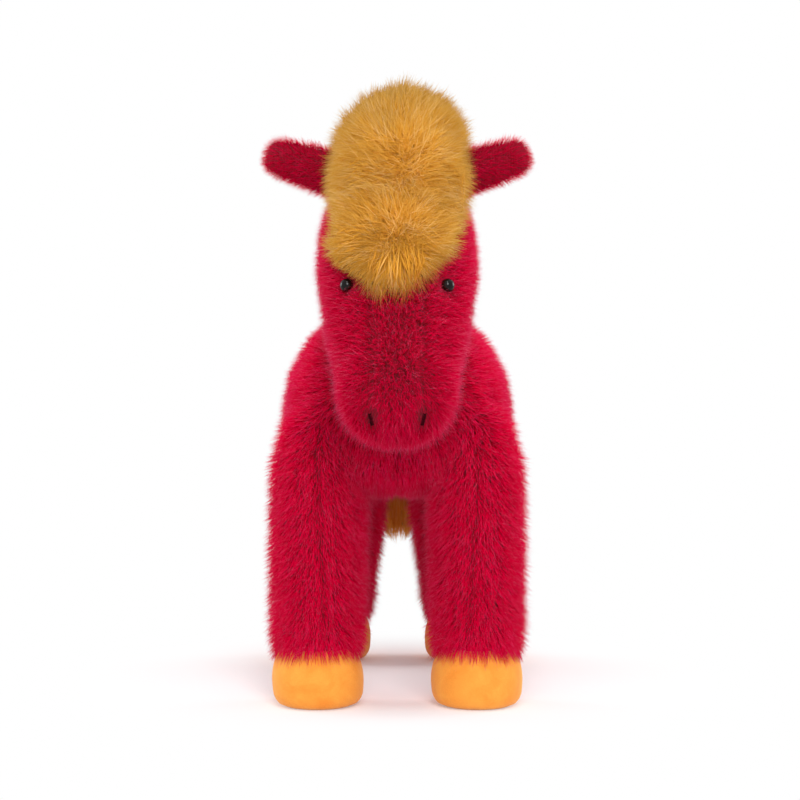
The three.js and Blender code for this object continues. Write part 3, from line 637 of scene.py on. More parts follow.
def pile_tree():
    """Strands over a skin, as its nap, reach and cover fields say."""
    tree, node, given = new_tree("pile", PILE_INPUTS)

    def field(name, kind="FLOAT"):
        return node("GeometryNodeInputNamedAttribute", {"Name": name}, data_type=kind).outputs[0]

    def number(operation, a, b):
        return node("ShaderNodeMath", {0: a, 1: b}, operation=operation).outputs[0]

    def vector(operation, a, b):
        return node("ShaderNodeVectorMath", {0: a, 1: b}, operation=operation).outputs[0]

    def scaled(a, factor):
        return node("ShaderNodeVectorMath", {0: a, "Scale": factor},
                    operation="SCALE").outputs[0]

    def chance(low, high, seed):
        picked = node("FunctionNodeRandomValue", {2: low, 3: high, "Seed": seed},
                      data_type="FLOAT")
        return picked.outputs[1]

    density = number("MULTIPLY", given["Strands per square metre"], field("cover"))
    scatter = node("GeometryNodeDistributePointsOnFaces", {
        "Mesh": given["Geometry"], "Density": density, "Seed": given["Seed"]})
    normal = vector("NORMALIZE", field("up", "FLOAT_VECTOR"), (0, 0, 0))
    place = node("GeometryNodeInputPosition").outputs[0]

    per_size = number("DIVIDE", 1.0, given["Wander size"])
    noise = node("ShaderNodeTexNoise", {"Vector": place, "Scale": per_size, "Detail": 1.5})
    wander = vector("SUBTRACT", noise.outputs["Color"], (0.5, 0.5, 0.5))
    wander = scaled(wander, number("MULTIPLY", given["Wander"], 4.0))
    stray = node("FunctionNodeRandomValue", {0: (-1, -1, -1), 1: (1, 1, 1),
                                             "Seed": given["Seed"]}, data_type="FLOAT_VECTOR")
    stray = scaled(stray.outputs[0], given["Stray"])
    lie = vector("ADD", normal, field("nap", "FLOAT_VECTOR"))
    lie = vector("NORMALIZE", vector("ADD", vector("ADD", lie, wander), stray), (0, 0, 0))

    length = number("MULTIPLY", given["Length"], field("reach"))
    vary = chance(given["Shortest"], given["Longest"], number("ADD", given["Seed"], 7))
    length = number("MULTIPLY", length, vary)
    way = scaled(lie, length)
    tuft = node("ShaderNodeTexVoronoi", {
        "Vector": place, "Scale": number("DIVIDE", 1.0, given["Tuft size"])})
    drawn = vector("SUBTRACT", tuft.outputs["Position"], place)
    inward = node("ShaderNodeVectorMath", {0: drawn, 1: normal}, operation="DOT_PRODUCT")
    drawn = vector("SUBTRACT", drawn, scaled(normal, inward.outputs["Value"]))
    spine = vector("ADD", way, scaled(drawn, given["Tuft pull"]))

    tone = node("ShaderNodeTexNoise", {"Vector": place, "Scale": 1 / SHADE_SIZE, "Detail": 1.0})
    shade = number("MULTIPLY", tone.outputs[0], 0.5)
    shade = number("ADD", shade, chance(0.0, 0.45, number("ADD", given["Seed"], 13)))
    marked = node("GeometryNodeStoreNamedAttribute", {
        "Geometry": scatter.outputs["Points"], "Name": "shade", "Value": shade},
        data_type="FLOAT", domain="POINT")
    aim = node("FunctionNodeAlignRotationToVector", {"Vector": spine}, axis="Z")
    lean = vector("ADD", field("nap", "FLOAT_VECTOR"), stray)
    turn = node("FunctionNodeAlignRotationToVector", {
        "Rotation": aim.outputs[0], "Vector": lean}, axis="X", pivot_axis="Z")
    size = node("ShaderNodeVectorMath", {0: spine}, operation="LENGTH").outputs["Value"]
    for name, kind, value in (("turn", "QUATERNION", turn.outputs[0]), ("size", "FLOAT", size)):
        marked = node("GeometryNodeStoreNamedAttribute", {
            "Geometry": marked.outputs[0], "Name": name, "Value": value},
            data_type=kind, domain="POINT")
    root = scaled(way, number("MULTIPLY", given["Tip anchor"], -1.0))
    rooted = node("GeometryNodeSetPosition", {"Geometry": marked.outputs[0], "Offset": root})

    source = node("GeometryNodeObjectInfo", {"Object": given["Strand"]})
    placed = node("GeometryNodeInstanceOnPoints", {
        "Points": rooted.outputs[0], "Instance": source.outputs["Geometry"],
        "Rotation": field("turn", "QUATERNION"), "Scale": field("size")})
    real = node("GeometryNodeRealizeInstances", {"Geometry": placed.outputs[0]})
    side = node("ShaderNodeMath", {0: field("across"), 1: 0.02, 2: field("shade")},
                operation="MULTIPLY_ADD").outputs[0]
    flat = node("ShaderNodeCombineXYZ", {0: side, 1: field("height")}).outputs[0]
    mapped = node("GeometryNodeStoreNamedAttribute", {
        "Geometry": real.outputs[0], "Name": "OFBake", "Value": flat},
        data_type="FLOAT2", domain="CORNER").outputs[0]
    for name in ("shade", "height", "across", "turn", "size", "up", "nap", "reach", "cover"):
        mapped = node("GeometryNodeRemoveAttribute", {"Geometry": mapped, "Name": name}).outputs[0]
    done = node("GeometryNodeSetMaterial", {"Geometry": mapped, "Material": given["Finish"]})
    node("NodeGroupOutput", {0: done.outputs[0]})
    return tree


pile = pile_tree()
print(len(pile.nodes), "nodes in the pile tree")


# %% Grow pile on a patch of skin
def patch_object(name, points, faces, fields):
    """A patch of a skin, with the fields that the pile tree reads."""
    used = np.unique(faces)
    index = np.zeros(len(points), int)
    index[used] = np.arange(len(used))
    made = mesh_object(name, points[used], index[faces])
    made.data.shade_smooth()
    for key, values in fields.items():
        kind, data = ("FLOAT_VECTOR", "vector") if values.ndim > 1 else ("FLOAT", "value")
        layer = made.data.attributes.new(key, kind, "POINT")
        layer.data.foreach_set(data, values[used].astype(np.float32).ravel())
    return made


def grow(name, points, faces, fields, seed, **values):
    """A piece of pile as one plain mesh of strands."""
    made = patch_object(name, points, faces, fields)
    return run_tree(name, made, pile, {**values, "Seed": seed})


# %% [markdown]
# ## Finishes for the pile
# Each strand carries a map of its own: across it runs the strand's shade, and up it runs the
# height from root to tip. The colour reads only that map. Roots are dark, a painted shade for
# the little light that gets down to them, and the tips are the lightest, partly a painted bloom
# of the light that catches them. A few strands are fairer than the rest.


# %% Pile materials
FAIR_FROM, FAIR_FADE = 0.62, 0.05
LOW_SHADE, HIGH_SHADE = 0.1, 0.85
BODY_FROM, BODY_TO = 0.35, 0.78


def pile_material(name, root, body_colour, tip, fair, spread_of_value):
    """Painted shade at the root and a pale painted bloom at the tip. Each strand has its own shade, and a few are
    fair.
    """
    node, finish = new_material(name)
    place = node("ShaderNodeUVMap", uv_map="OFBake")
    split = node("ShaderNodeSeparateXYZ", {0: place.outputs[0]})
    shade, height = split.outputs[0], split.outputs[1]
    # The ramp paints shade at the roots and a pale bloom at the tips.
    ramp = node("ShaderNodeValToRGB", {0: height})
    stops = ramp.color_ramp.elements
    stops[0].color = (*root, 1)
    stops[1].color = (*tip, 1)
    stops.new(BODY_FROM).color = (*body_colour, 1)
    stops.new(BODY_TO).color = (*body_colour, 1)
    value = node("ShaderNodeMapRange", {
        "Value": shade, "From Min": LOW_SHADE, "From Max": HIGH_SHADE,
        "To Min": 1 - spread_of_value, "To Max": 1 + spread_of_value})
    tinted = node("ShaderNodeHueSaturation", {"Color": ramp.outputs[0],
                                              "Value": value.outputs[0]})
    few = node("ShaderNodeMapRange", {"Value": shade, "From Min": FAIR_FROM,
                                      "From Max": FAIR_FROM + FAIR_FADE}).outputs[0]
    few = node("ShaderNodeMath", {0: few, 1: height}, operation="MULTIPLY").outputs[0]
    mixed = node("ShaderNodeMix", {"Factor": few, 6: tinted.outputs[0], 7: (*fair, 1)},
                 data_type="RGBA").outputs[2]
    return finish({"Base Color": mixed, "Roughness": 0.75, "Specular IOR Level": 0.01})


crimson_pile = pile_material("crimson_pile", (0.70, 0.0, 0.030), (0.90, 0.0, 0.054),
                             (1.0, 0.20, 0.36), (1.0, 0.03, 0.15), 0.07)
# A darker copy of the crimson pile: painted shade over the torso, which is the same fabric.
shaded_torso_pile = pile_material("shaded_torso_pile", (0.66, 0.0, 0.028), (0.85, 0.0, 0.050),
                           (0.97, 0.15, 0.31), (0.96, 0.02, 0.14), 0.07)
dark_pile = pile_material("dark_pile", (0.50, 0.0, 0.020), (0.67, 0.0, 0.036),
                          (0.76, 0.01, 0.09), (0.80, 0.005, 0.08), 0.10)
gold_pile = pile_material("gold_pile", (0.52, 0.215, 0.016), (0.75, 0.345, 0.037),
                          (0.85, 0.47, 0.11), (0.94, 0.60, 0.22), 0.10)
shaded_gold_pile = pile_material("shaded_gold_pile", (0.58, 0.21, 0.014), (0.84, 0.35, 0.034),
                                 (0.93, 0.46, 0.08), (0.98, 0.56, 0.15), 0.12)
face_pile = pile_material("face_pile", (0.72, 0.0, 0.034), (0.76, 0.0, 0.044),
                          (0.88, 0.08, 0.21), (0.86, 0.01, 0.09), 0.03)
# Pale pink painted bloom for the fine hairs, standing for the light that catches the fur's edges.
bloom_pile = pile_material("bloom_pile", (0.76, 0.01, 0.06), (0.90, 0.08, 0.20),
                          (1.0, 0.38, 0.53), (1.0, 0.24, 0.38), 0.05)
print("seven pile finishes")

# %% [markdown]
# ## The crimson pile
# The toy's body pile is about 9 mm long and leans over, so it stands some 7 mm off the cloth.
# The frame's panels end at the middle of it, so the roots lie a little under them. Through it
# stand sparse fine hairs, more upright and painted a pale pink, a painted bloom for the light
# that catches the edges of acrylic fur. More of them grow where the coat turns side-on to the
# camera, so they hardly show on a face seen straight on but line up along its edge.

# %% Grow the body pile
ROOT_DEPTH = 2.7 * MM
BODY_PILE = 9.0 * MM
DENSITY = 2.08e6

inward = coat_normal * (ROOT_DEPTH + sink)[:, None]
inward[:, 2] *= np.where(on_leg, low_pile, 1)
roots = coat - inward
fields = {"up": coat_normal, "nap": nap, "reach": reach, "cover": cover}
SHORT = {"Strand": short_strand, "Finish": crimson_pile, "Strands per square metre": DENSITY,
         "Length": BODY_PILE, "Wander": 0.19, "Wander size": 7 * MM, "Stray": 0.45,
         "Tuft size": 2.0 * MM, "Tuft pull": 0.15, "Tip anchor": 0.0}


def coat_pile(name, owners, seed, **changes):
    """The pile of one or more panels."""
    here = coat_faces[np.isin(face_owner, owners)]
    return grow(name, roots, here, fields, seed, **{**SHORT, **changes})


def joint_at(name):
    return Vector(next(j for j in frame["joints"] if j["name"] == name)["pos_m"])


def blend_over(piece):
    """Writes the piece's place into its mesh; it is attached to no body."""
    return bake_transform(piece)


def blend_leg(piece):
    """Hands a leg's cover to blend_over, which writes its place into its mesh; it is attached to no body."""
    return blend_over(piece)


# %% Torso and head pile
TORSO_SIDES = ["torso_side_left", "torso_side_right"]
UNDERBODY = ["underbody_left", "underbody_right"]
HEAD_PANELS = ["head_side_left", "head_side_right", "face_gusset"]
HEAD = {"Length": 6.6 * MM, "Finish": face_pile, "Strands per square metre": 2.8e6,
        "Wander": 0.12, "Stray": 0.55, "Tuft pull": 0.05}

# The torso's pile takes the darker copy, with its painted shade.
for seed, (name, owners) in enumerate({
        "torso_pile_left": TORSO_SIDES[:1], "torso_pile_right": TORSO_SIDES[1:],
        "underbody_pile": UNDERBODY}.items(), 10):
    piece = coat_pile(name, owners, seed, Finish=shaded_torso_pile)
    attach(piece, "torso")
for seed, (name, panel) in enumerate(zip(("head_pile_left", "head_pile_right", "gusset_pile"),
                                         HEAD_PANELS), 20):
    piece = coat_pile(name, [panel], seed, **HEAD)
    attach(piece, "head")

# %% Fine hairs with a painted bloom
FINE = {**SHORT, "Strand": fine_strand, "Finish": bloom_pile, "Strands per square metre": 1.5e5,
        "Length": 8.6 * MM, "Shortest": 0.8, "Longest": 1.15, "Wander": 0.1, "Stray": 0.4,
        "Tuft pull": 0.0}
FINE_HEAD = {"Length": 7.5 * MM, "Strands per square metre": 3.8e5}
UPRIGHT = 0.4
FEW, MORE = 0.45, 1.1
# More of the painted-bloom hairs where the coat turns side-on to the camera.
side_on_bloom = FEW + MORE * step(0.3, 0.95, 1 - np.abs(coat_normal[:, 1]))
fine_fields = {**fields, "nap": UPRIGHT * nap, "cover": cover * side_on_bloom}


def fine_hairs(name, owners, seed, **changes):
    """Sparse hairs in a pale painted bloom that stand up past the pile, denser where the coat turns side-on to the
    camera.
    """
    here = coat_faces[np.isin(face_owner, owners)]
    return grow(name, roots, here, fine_fields, seed, **{**FINE, **changes})


for name, part, owners, seed, changes in (
        ("head_fine_hairs", "head", HEAD_PANELS, 27, FINE_HEAD),
        ("torso_fine_hairs", "torso", TORSO_SIDES + UNDERBODY, 28, {})):
    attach(fine_hairs(name, owners, seed, **changes), part)

# %% Leg and neck pile
for seed, leg in enumerate(LEGS, 30):
    leg_panels = [leg + "_outer_panel", leg + "_inner_panel"]
    blend_leg(coat_pile(leg + "_pile", leg_panels, seed))
    blend_leg(fine_hairs(leg + "_fine_hairs", leg_panels, seed + 5))

piece = coat_pile("neck_pile", ["neck_cover_left", "neck_cover_right"], 40)
blend_over(piece)

# %% [markdown]
# ## Stuffed skins under the pile
# Under its pile each body is a cloth cover, packed tight with fibre. It is made from the
# same CAD pieces as one closed form for each body that moves, let in under the roots where it
# faces out, and left alone inside the joints, so that it still turns in its room.

# %% Knitted backing
def knit(node, place):
    """Fine ribs with a mottle over them."""
    ribs = node("ShaderNodeTexWave", {"Vector": place, "Scale": 260.0, "Distortion": 3.0})
    mottle = node("ShaderNodeTexNoise", {"Vector": place, "Scale": 300.0, "Detail": 4.0})
    return node("ShaderNodeMath", {0: ribs.outputs["Fac"], 1: mottle.outputs[0]},
                operation="MULTIPLY").outputs[0]


red_cloth = patterned("red_backing", (0.16, 0.0, 0.01), (0.40, 0.002, 0.03), knit,
                      0.5, 0.4 * MM, {"Roughness": 0.9})
gold_cloth = patterned("gold_backing", (0.20, 0.07, 0.006), (0.42, 0.17, 0.02), knit,
                       0.5, 0.4 * MM, {"Roughness": 0.9})

# %% Skins for the bodies
SKIN_VOXEL = 2.6 * MM
SKIN_ROUNDS = 8
SKIN_DEPTH = ROOT_DEPTH + 0.8 * MM
EYE_SKIN = 2.0 * MM
EYE_SKIN_FADE = (6 * MM, 11 * MM)
OUTER_FADE = (2 * MM, 6 * MM)
eye_places = [middle("eye_" + side) for side in SIDES]


def skin_depth(place, face):
    """How far the cloth lies under the coat: less beside an eye, where it covers the washer."""
    off = min(np.linalg.norm(place - eye) for eye in eye_places)
    under_roots = SKIN_DEPTH + sink[coat_faces[face]].mean()
    return EYE_SKIN + (under_roots - EYE_SKIN) * float(step(*EYE_SKIN_FADE, off))


def let_in(points):
    """Moves what lies by the coat in under it, and leaves what lies deep in a joint alone."""
    moved = points.copy()
    for i, place in enumerate(points):
        _, normal, face, gap = coat_tree.find_nearest(Vector(place))
        share = float(fall(*OUTER_FADE, gap))
        moved[i] = place - np.array(normal) * skin_depth(place, face) * share
    return moved


def smooth_piece(name, points, faces, material):
    made = mesh_object(name, points, faces)
    made.data.shade_smooth()
    made.data.materials.append(material)
    return made


def stuffed(name, names, body_name):
    """A closed stuffed skin that stands for a body's panels and filling."""
    closed = names + (eye_pieces if body_name == "head" else [])
    points, _, faces = felt(closed, SKIN_VOXEL, SKIN_ROUNDS)
    made = smooth_piece(name, let_in(points), faces, red_cloth)
    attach(made, body_name)
    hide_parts(*names)
    print(name, len(faces), "quads")


for body_name in COVERED:
    parts = [n for n in bodies[body_name] if is_panel(n) or is_stuffing(n)]
    stuffed(body_name + "_skin", parts, body_name)

# %% [markdown]
# ## Ears
# An ear is two pieces of pile fabric sewn face to face and turned out: crimson behind, and a
# darker pile in front. It is flat and barely filled, and its pile is cut short and lies along
# it. The part of the ear that is inside the head gets no pile.

# %% Ears
EAR_VOXEL = 1.3 * MM
EAR_ROUNDS = 5
EAR_LIFT, EAR_SKIN_LIFT = 0.3 * MM, 0.2 * MM
EAR_LEAN = 0.8
EAR_DROOP = np.array([0, 0, -0.35])
TIP_TRIM, TIP_HALF = 0.25, 8 * MM
EAR = {**SHORT, "Length": 5.0 * MM, "Wander": 0.16, "Tuft size": 1.6 * MM,
       "Strands per square metre": 3.2e6}


def outside_coat(points, low, high):
    """1 where a point is clear of the coat's surface, 0 where it is inside."""
    out = []
    for place in points:
        spot, normal, _, _ = coat_tree.find_nearest(Vector(place))
        out.append((Vector(place) - spot).dot(normal))
    return step(low, high, np.array(out))


for seed, side in enumerate(SIDES, 50):
    names = bodies["ear_" + side]
    points, normals, faces = felt(names, EAR_VOXEL, EAR_ROUNDS)
    from_root = points - np.array(joint_at("ear_flop_" + side))
    off_root = np.linalg.norm(from_root, axis=1)
    lie = unit(from_root[[off_root.argmax()]]) + EAR_DROOP
    lie = unit(flat_on(np.tile(lie, (len(points), 1)), normals)) * EAR_LEAN
    short_tip = 1 - TIP_TRIM * fall(0, TIP_HALF, off_root.max() - off_root)
    ear_fields = {"up": normals, "nap": lie, "reach": short_tip,
                  "cover": outside_coat(points, -1 * MM, 1 * MM)}
    skin = smooth_piece(f"ear_skin_{side}", points + normals * EAR_SKIN_LIFT, faces, red_cloth)
    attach(skin, "ear_" + side)
    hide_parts(*names)
    nearest = nearest_node(points[faces].mean(1), names)
    for part, finish, slot in (("outer", crimson_pile, "crimson_fur"),
                               ("lining", dark_pile, "short_fur")):
        here = faces[nearest == f"ear_{part}_{side}"]
        piece = grow(f"ear_{part}_pile_{side}", points + normals * EAR_LIFT, here, ear_fields,
                     seed, **{**EAR, "Finish": finish})
        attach(piece, "ear_" + side)

# %% [markdown]
# ## Mane and forelock
# The mane is a strip of long gold pile on the neck, and a tuft of the same over the poll that
# falls forward as a forelock. Its fibres are some 20 mm long, the longest half as long again,
# and radiate from two whorls, so that dark roots show at the middle of each and the tips lie
# over the face. The CAD form is the brushed outline, so most tips end near it, and finer loose
# hairs stand out of it. Under them is a darker mound.

# %% Mane field
WHORLS = [np.array([5.0, 0, 250]) * MM, np.array([-1.0, 0, 214]) * MM]
WHORL_REACH, WHORL_SPREAD = 34 * MM, 16 * MM
LOCK = {"Strand": long_strand, "Finish": gold_pile, "Strands per square metre": 3.0e6,
        "Length": 21 * MM, "Shortest": 0.45, "Longest": 1.65, "Wander": 0.36,
        "Wander size": 10 * MM, "Stray": 0.46, "Tuft size": 3.0 * MM, "Tuft pull": 0.3,
        "Tip anchor": 0.64}
LOOSE = {**LOCK, "Strand": loose_strand, "Strands per square metre": 1.0e6,
         "Length": 19 * MM, "Longest": 1.3, "Stray": 0.65, "Tuft pull": 0.1, "Tip anchor": 0.5}


def front_of_mane(place):
    """The whorl's place on the front of the mane."""
    hit = mane_tree.ray_cast(Vector((place[0], -1, place[2])), Vector((0, 1, 0)))
    return np.array(hit[0])


whorls = [front_of_mane(w) for w in WHORLS]


def whorl_nap(points, normals):
    """Away from the nearer whorl, flatter with distance."""
    total = np.zeros_like(points)
    nearest = np.full(len(points), 1.0)
    for centre in whorls:
        off = points - centre
        gap = np.linalg.norm(off, axis=1)
        nearest = np.minimum(nearest, gap)
        total += off / np.maximum(gap, 1e-6)[:, None] * np.exp(-(gap / WHORL_SPREAD) ** 2)[:, None]
        total += 1e-4 * unit(off)
    way = unit(flat_on(total, normals))
    return way * (0.15 + 0.95 * step(0, WHORL_REACH, nearest))[:, None]


def gap_to(points, names):
    """How far each point is from the named nodes."""
    tree, _ = tree_of(names)
    return np.array([tree.find_nearest(Vector(p))[3] for p in points])


def facing(points, normals, name):
    """How near each point is to the named node, and 1 where it looks at it across the slit."""
    tree, _ = tree_of([name])
    looks = np.zeros(len(points))
    gap = np.zeros(len(points))
    for i, place in enumerate(points):
        spot, _, _, gap[i] = tree.find_nearest(Vector(place))
        looks[i] = (np.array(spot) - place) @ normals[i] / max(gap[i], 1e-6)
    return gap, step(0.3, 0.7, looks) * fall(3 * MM, 5 * MM, gap)


MANE_FRONT = -40 * MM
TOP_WIDER, WAIST_NARROWER = 0.09, 0.07
TOP_SHIFT, LOW_SHIFT = 4 * MM, 3.6 * MM


def brushed(points):
    """The mane is not even: its top is full and falls to the left, its low end to the right."""
    height = points[:, 2]
    waist = step(200 * MM, 218 * MM, height) * fall(222 * MM, 242 * MM, height)
    width = 1 + TOP_WIDER * step(240 * MM, 278 * MM, height) - WAIST_NARROWER * waist
    low = fall(196 * MM, 226 * MM, height) * (0.4 + 0.6 * step(184 * MM, 200 * MM, height))
    shift = TOP_SHIFT * step(235 * MM, 290 * MM, height)
    shift -= LOW_SHIFT * low * (points[:, 1] < MANE_FRONT)
    moved = points.copy()
    moved[:, 0] = moved[:, 0] * width + shift
    return moved


# %% Mane
MOUND_DEPTH = 9.5 * MM
MOUND_SHARE = 0.8
WHORL_DENT = 3 * MM
MANE_VOXEL, MANE_ROUNDS = 1.9 * MM, 4
MANE_SWEEP, SLIT_HANG = 0.35 * X_AXIS, [0, 0, -1.6]
head_panels = [n for n in bodies["head"] if is_panel(n)] + ["neck_cover_left", "neck_cover_right"]
MANE_PARTS = {  # CAD node: body, the node that it meets, and the pieces cut from it
    "forelock": ("head", "crest_mane", {"forelock_locks": (-9, 222), "brow_locks": (222, 250),
                                        "crown_locks": (250, 999)}),
    "crest_mane": ("neck", "forelock", {"crest_locks": (-9, 999)}),
}


def gold_mound(name, points, normals, faces, thick, meets):
    """A darker form inside the pile, let in from the outline and away from the slit."""
    ends = points * [0.62, 1, 1]
    ends[:, 1] = np.minimum(points[:, 1], points[:, 1].max() - MOUND_DEPTH)
    inner = points - normals * np.minimum(MOUND_DEPTH, MOUND_SHARE * thick)[:, None]
    inner += (ends - inner) * meets[:, None]
    return smooth_piece(name + "_mound", inner, faces, gold_cloth)


def mane_lie(points, normals, full, over_slit):
    """Away from the whorls, swept to the left at the top, and hanging down over the slit."""
    lie = whorl_nap(points, normals) * (2.0 - full)[:, None]
    lie += flat_on(np.outer(step(255 * MM, 285 * MM, points[:, 2]), MANE_SWEEP), normals)
    return lie + flat_on(np.outer(over_slit, SLIT_HANG), normals)


def mane_reach(points, full, dent):
    """Long at the middle of the low end, uneven all over, short at the eyes and the whorls."""
    aside = step(8 * MM, 22 * MM, np.abs(points[:, 0]))
    low_end = fall(188 * MM, 212 * MM, points[:, 2]) * (0.35 - 0.75 * aside)
    low_end *= points[:, 1] < MANE_FRONT
    uneven = 0.13 * np.sin(points @ [160, 90, 130]) * np.sin(points @ [-120, 140, 210])
    off_eye = how_far(points, *eye_places)
    long = (0.85 + 0.15 * full) * (1 + low_end + uneven)
    return long * (0.45 + 0.55 * step(8 * MM, 16 * MM, off_eye)) * (1 - 0.3 * dent)


for seed, (name, (mane_body, other, bands)) in enumerate(MANE_PARTS.items(), 60):
    points, normals, faces = felt([name], MANE_VOXEL, MANE_ROUNDS)
    thick = gap_to(points, head_panels)
    points = brushed(points)
    beside, meets = facing(points, normals, other)
    mound = gold_mound(name, points, normals, faces, thick, meets)
    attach(mound, mane_body)
    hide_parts(name)
    full = step(2 * MM, 12 * MM, thick)
    beside = np.minimum(beside, gap_to(points, TORSO_SIDES))
    over_slit = fall(2 * MM, 10 * MM, beside)
    to_whorl = how_far(points, *whorls)
    dent = fall(1 * MM, 11 * MM, to_whorl)
    lie = mane_lie(points, normals, full, over_slit)
    fields_here = {"up": normals, "nap": lie, "reach": mane_reach(points, full, dent),
                   "cover": step(0.2 * MM, 1.2 * MM, thick) * (1 - meets)}
    upright = 1 / np.sqrt(1 + (lie ** 2).sum(1))
    stands = (1 - LOCK["Tip anchor"]) * LOCK["Length"] * fields_here["reach"] * upright
    tips = points - normals * ((0.8 - 0.7 * over_slit) * stands + WHORL_DENT * dent)[:, None]
    centre_height = points[faces].mean(1)[:, 2]
    for number, (piece_name, (low, high)) in enumerate(bands.items()):
        here = faces[(centre_height >= low * MM) & (centre_height < high * MM)]
        piece = grow(piece_name, tips, here, fields_here, seed + 10 * number, **LOCK)
        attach(piece, mane_body)
    piece = grow(name + "_loose_hairs", tips, faces, fields_here, seed + 50, **LOOSE)
    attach(piece, mane_body)

# %% [markdown]
# ## Tail
# The tail is the same long pile on a woven core. It hangs from a short stuffed dock, and its
# fibres lie nearly straight down it.

# %% Tail
TAIL = {**LOCK, "Finish": shaded_gold_pile, "Strands per square metre": 3.8e6,
        "Length": 25 * MM, "Longest": 1.2, "Wander": 0.13, "Stray": 0.16,
        "Tuft size": 2.6 * MM, "Tuft pull": 0.3, "Tip anchor": 0.8}
TAIL_VOXEL, DOCK_VOXEL, TAIL_ROUNDS = 2 * MM, 1.2 * MM, 6
TOP_FADE = 40 * MM
END_BARE = (4 * MM, 9 * MM)
BACKING_DEPTH, BACKING_RISE = 5.5 * MM, 12 * MM
LOCK_INSET, DOCK_DEPTH = 1.5 * MM, 1.5 * MM

points, normals, faces = felt(["tail_pile", "tail_core"], TAIL_VOXEL, TAIL_ROUNDS)
below_top = step(0, TOP_FADE, points[:, 2].max() - points[:, 2])
out_from_core = (points - points.mean(0)) * [1, 1, 0]
hang = unit(out_from_core) * 0.5 + [0, 0, -1.0]
hang = unit(flat_on(hang, normals)) * (1.7 + 0.7 * below_top)[:, None]
tail_fields = {"up": normals, "nap": hang, "reach": 0.45 + 0.55 * below_top,
               "cover": step(*END_BARE, points[:, 2] - points[:, 2].min())}
inner = points - normals * BACKING_DEPTH
inner[:, 2] = np.maximum(inner[:, 2], points[:, 2].min() + BACKING_RISE)
core = smooth_piece("tail_backing", inner, faces, gold_cloth)
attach(core, "tail")
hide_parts("tail_pile", "tail_core")
piece = grow("tail_locks", points - normals * LOCK_INSET, faces, tail_fields, 80, **TAIL)
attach(piece, "tail")

# %% Dock
# The dock takes the torso's darker copy, with its painted shade.
DOCK = {**SHORT, "Finish": shaded_torso_pile, "Length": 6 * MM, "Strands per square metre": 3.6e6}

points, normals, faces = felt(["tail_dock"], DOCK_VOXEL, TAIL_ROUNDS)
back = unit(flat_on(np.tile([0, 1.0, -0.2], (len(points), 1)), normals))
dock = smooth_piece("dock_skin", points - normals * DOCK_DEPTH, faces, red_cloth)
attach(dock, "tail_dock")
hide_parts("tail_dock")
dock_fields = {"up": normals, "nap": back * 1.2, "reach": np.ones(len(points)),
               "cover": outside_coat(points, -2 * MM, -1 * MM)}
piece = grow("dock_pile", points - normals * MM, faces, dock_fields, 81, **DOCK)
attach(piece, "tail_dock")

# %% [markdown]
# ## Hooves
# Each hoof is a suedette cup, sewn to a flat round sole and pulled over the stuffed foot. The
# filling swells it a little at half height, and the hem draws it in under the pile. Suedette
# is a knit with its face brushed to a very short nap, which catches the light unevenly in soft
# patches where it lies one way or the other. Here those patches are painted into its colour as
# two oranges, a painted sheen.


# %% Suedette
def suede_material():
    """Brushed cloth: soft patches of two oranges as a painted sheen of the nap, a fine grain and a faint sheen."""
    node, finish = new_material("hoof_suedette")
    place = node("ShaderNodeTexCoord").outputs["Object"]
    patches = node("ShaderNodeTexNoise", {"Vector": place, "Scale": 85.0, "Detail": 3.0,
                                          "Roughness": 0.6, "Distortion": 0.6})
    grain = node("ShaderNodeTexNoise", {"Vector": place, "Scale": 2600.0, "Detail": 2.0})
    # The two oranges are a painted sheen of the nap, in soft patches.
    ramp = node("ShaderNodeValToRGB", {0: patches.outputs[0]})
    ramp.color_ramp.elements[0].position = 0.32
    ramp.color_ramp.elements[0].color = (0.80, 0.258, 0.031, 1)
    ramp.color_ramp.elements[1].position = 0.70
    ramp.color_ramp.elements[1].color = (0.87, 0.35, 0.053, 1)
    speck = node("ShaderNodeMapRange", {"Value": grain.outputs[0], "From Min": 0.3,
                                        "From Max": 0.7, "To Min": 0.9, "To Max": 1.06})
    tinted = node("ShaderNodeHueSaturation", {"Color": ramp.outputs[0],
                                              "Value": speck.outputs[0]})
    soft = node("ShaderNodeBump", {"Height": patches.outputs[0], "Strength": 0.35,
                                   "Distance": 0.8 * MM})
    fine = node("ShaderNodeBump", {"Height": grain.outputs[0], "Strength": 0.6,
                                   "Distance": 0.12 * MM, "Normal": soft.outputs[0]})
    return finish({"Base Color": tinted.outputs[0], "Normal": fine.outputs[0], "Roughness": 0.9,
                   "Specular IOR Level": 0.2, "Sheen Weight": 0.3, "Sheen Roughness": 0.4,
                   "Sheen Tint": (1.0, 0.82, 0.5, 1)})


suede = suede_material()


# %% Turned forms
def tube_faces(rings, sides, looped=False):
    """Quads between rings of points. The last ring joins the first, or both ends are capped."""
    faces = [(k * sides + i, (k + 1) % rings * sides + i,
              (k + 1) % rings * sides + (i + 1) % sides, k * sides + (i + 1) % sides)
             for k in range(rings if looped else rings - 1) for i in range(sides)]
    if not looped:
        last = (rings - 1) * sides
        faces += [tuple(range(sides)), tuple(range(last + sides - 1, last - 1, -1))]
    return faces


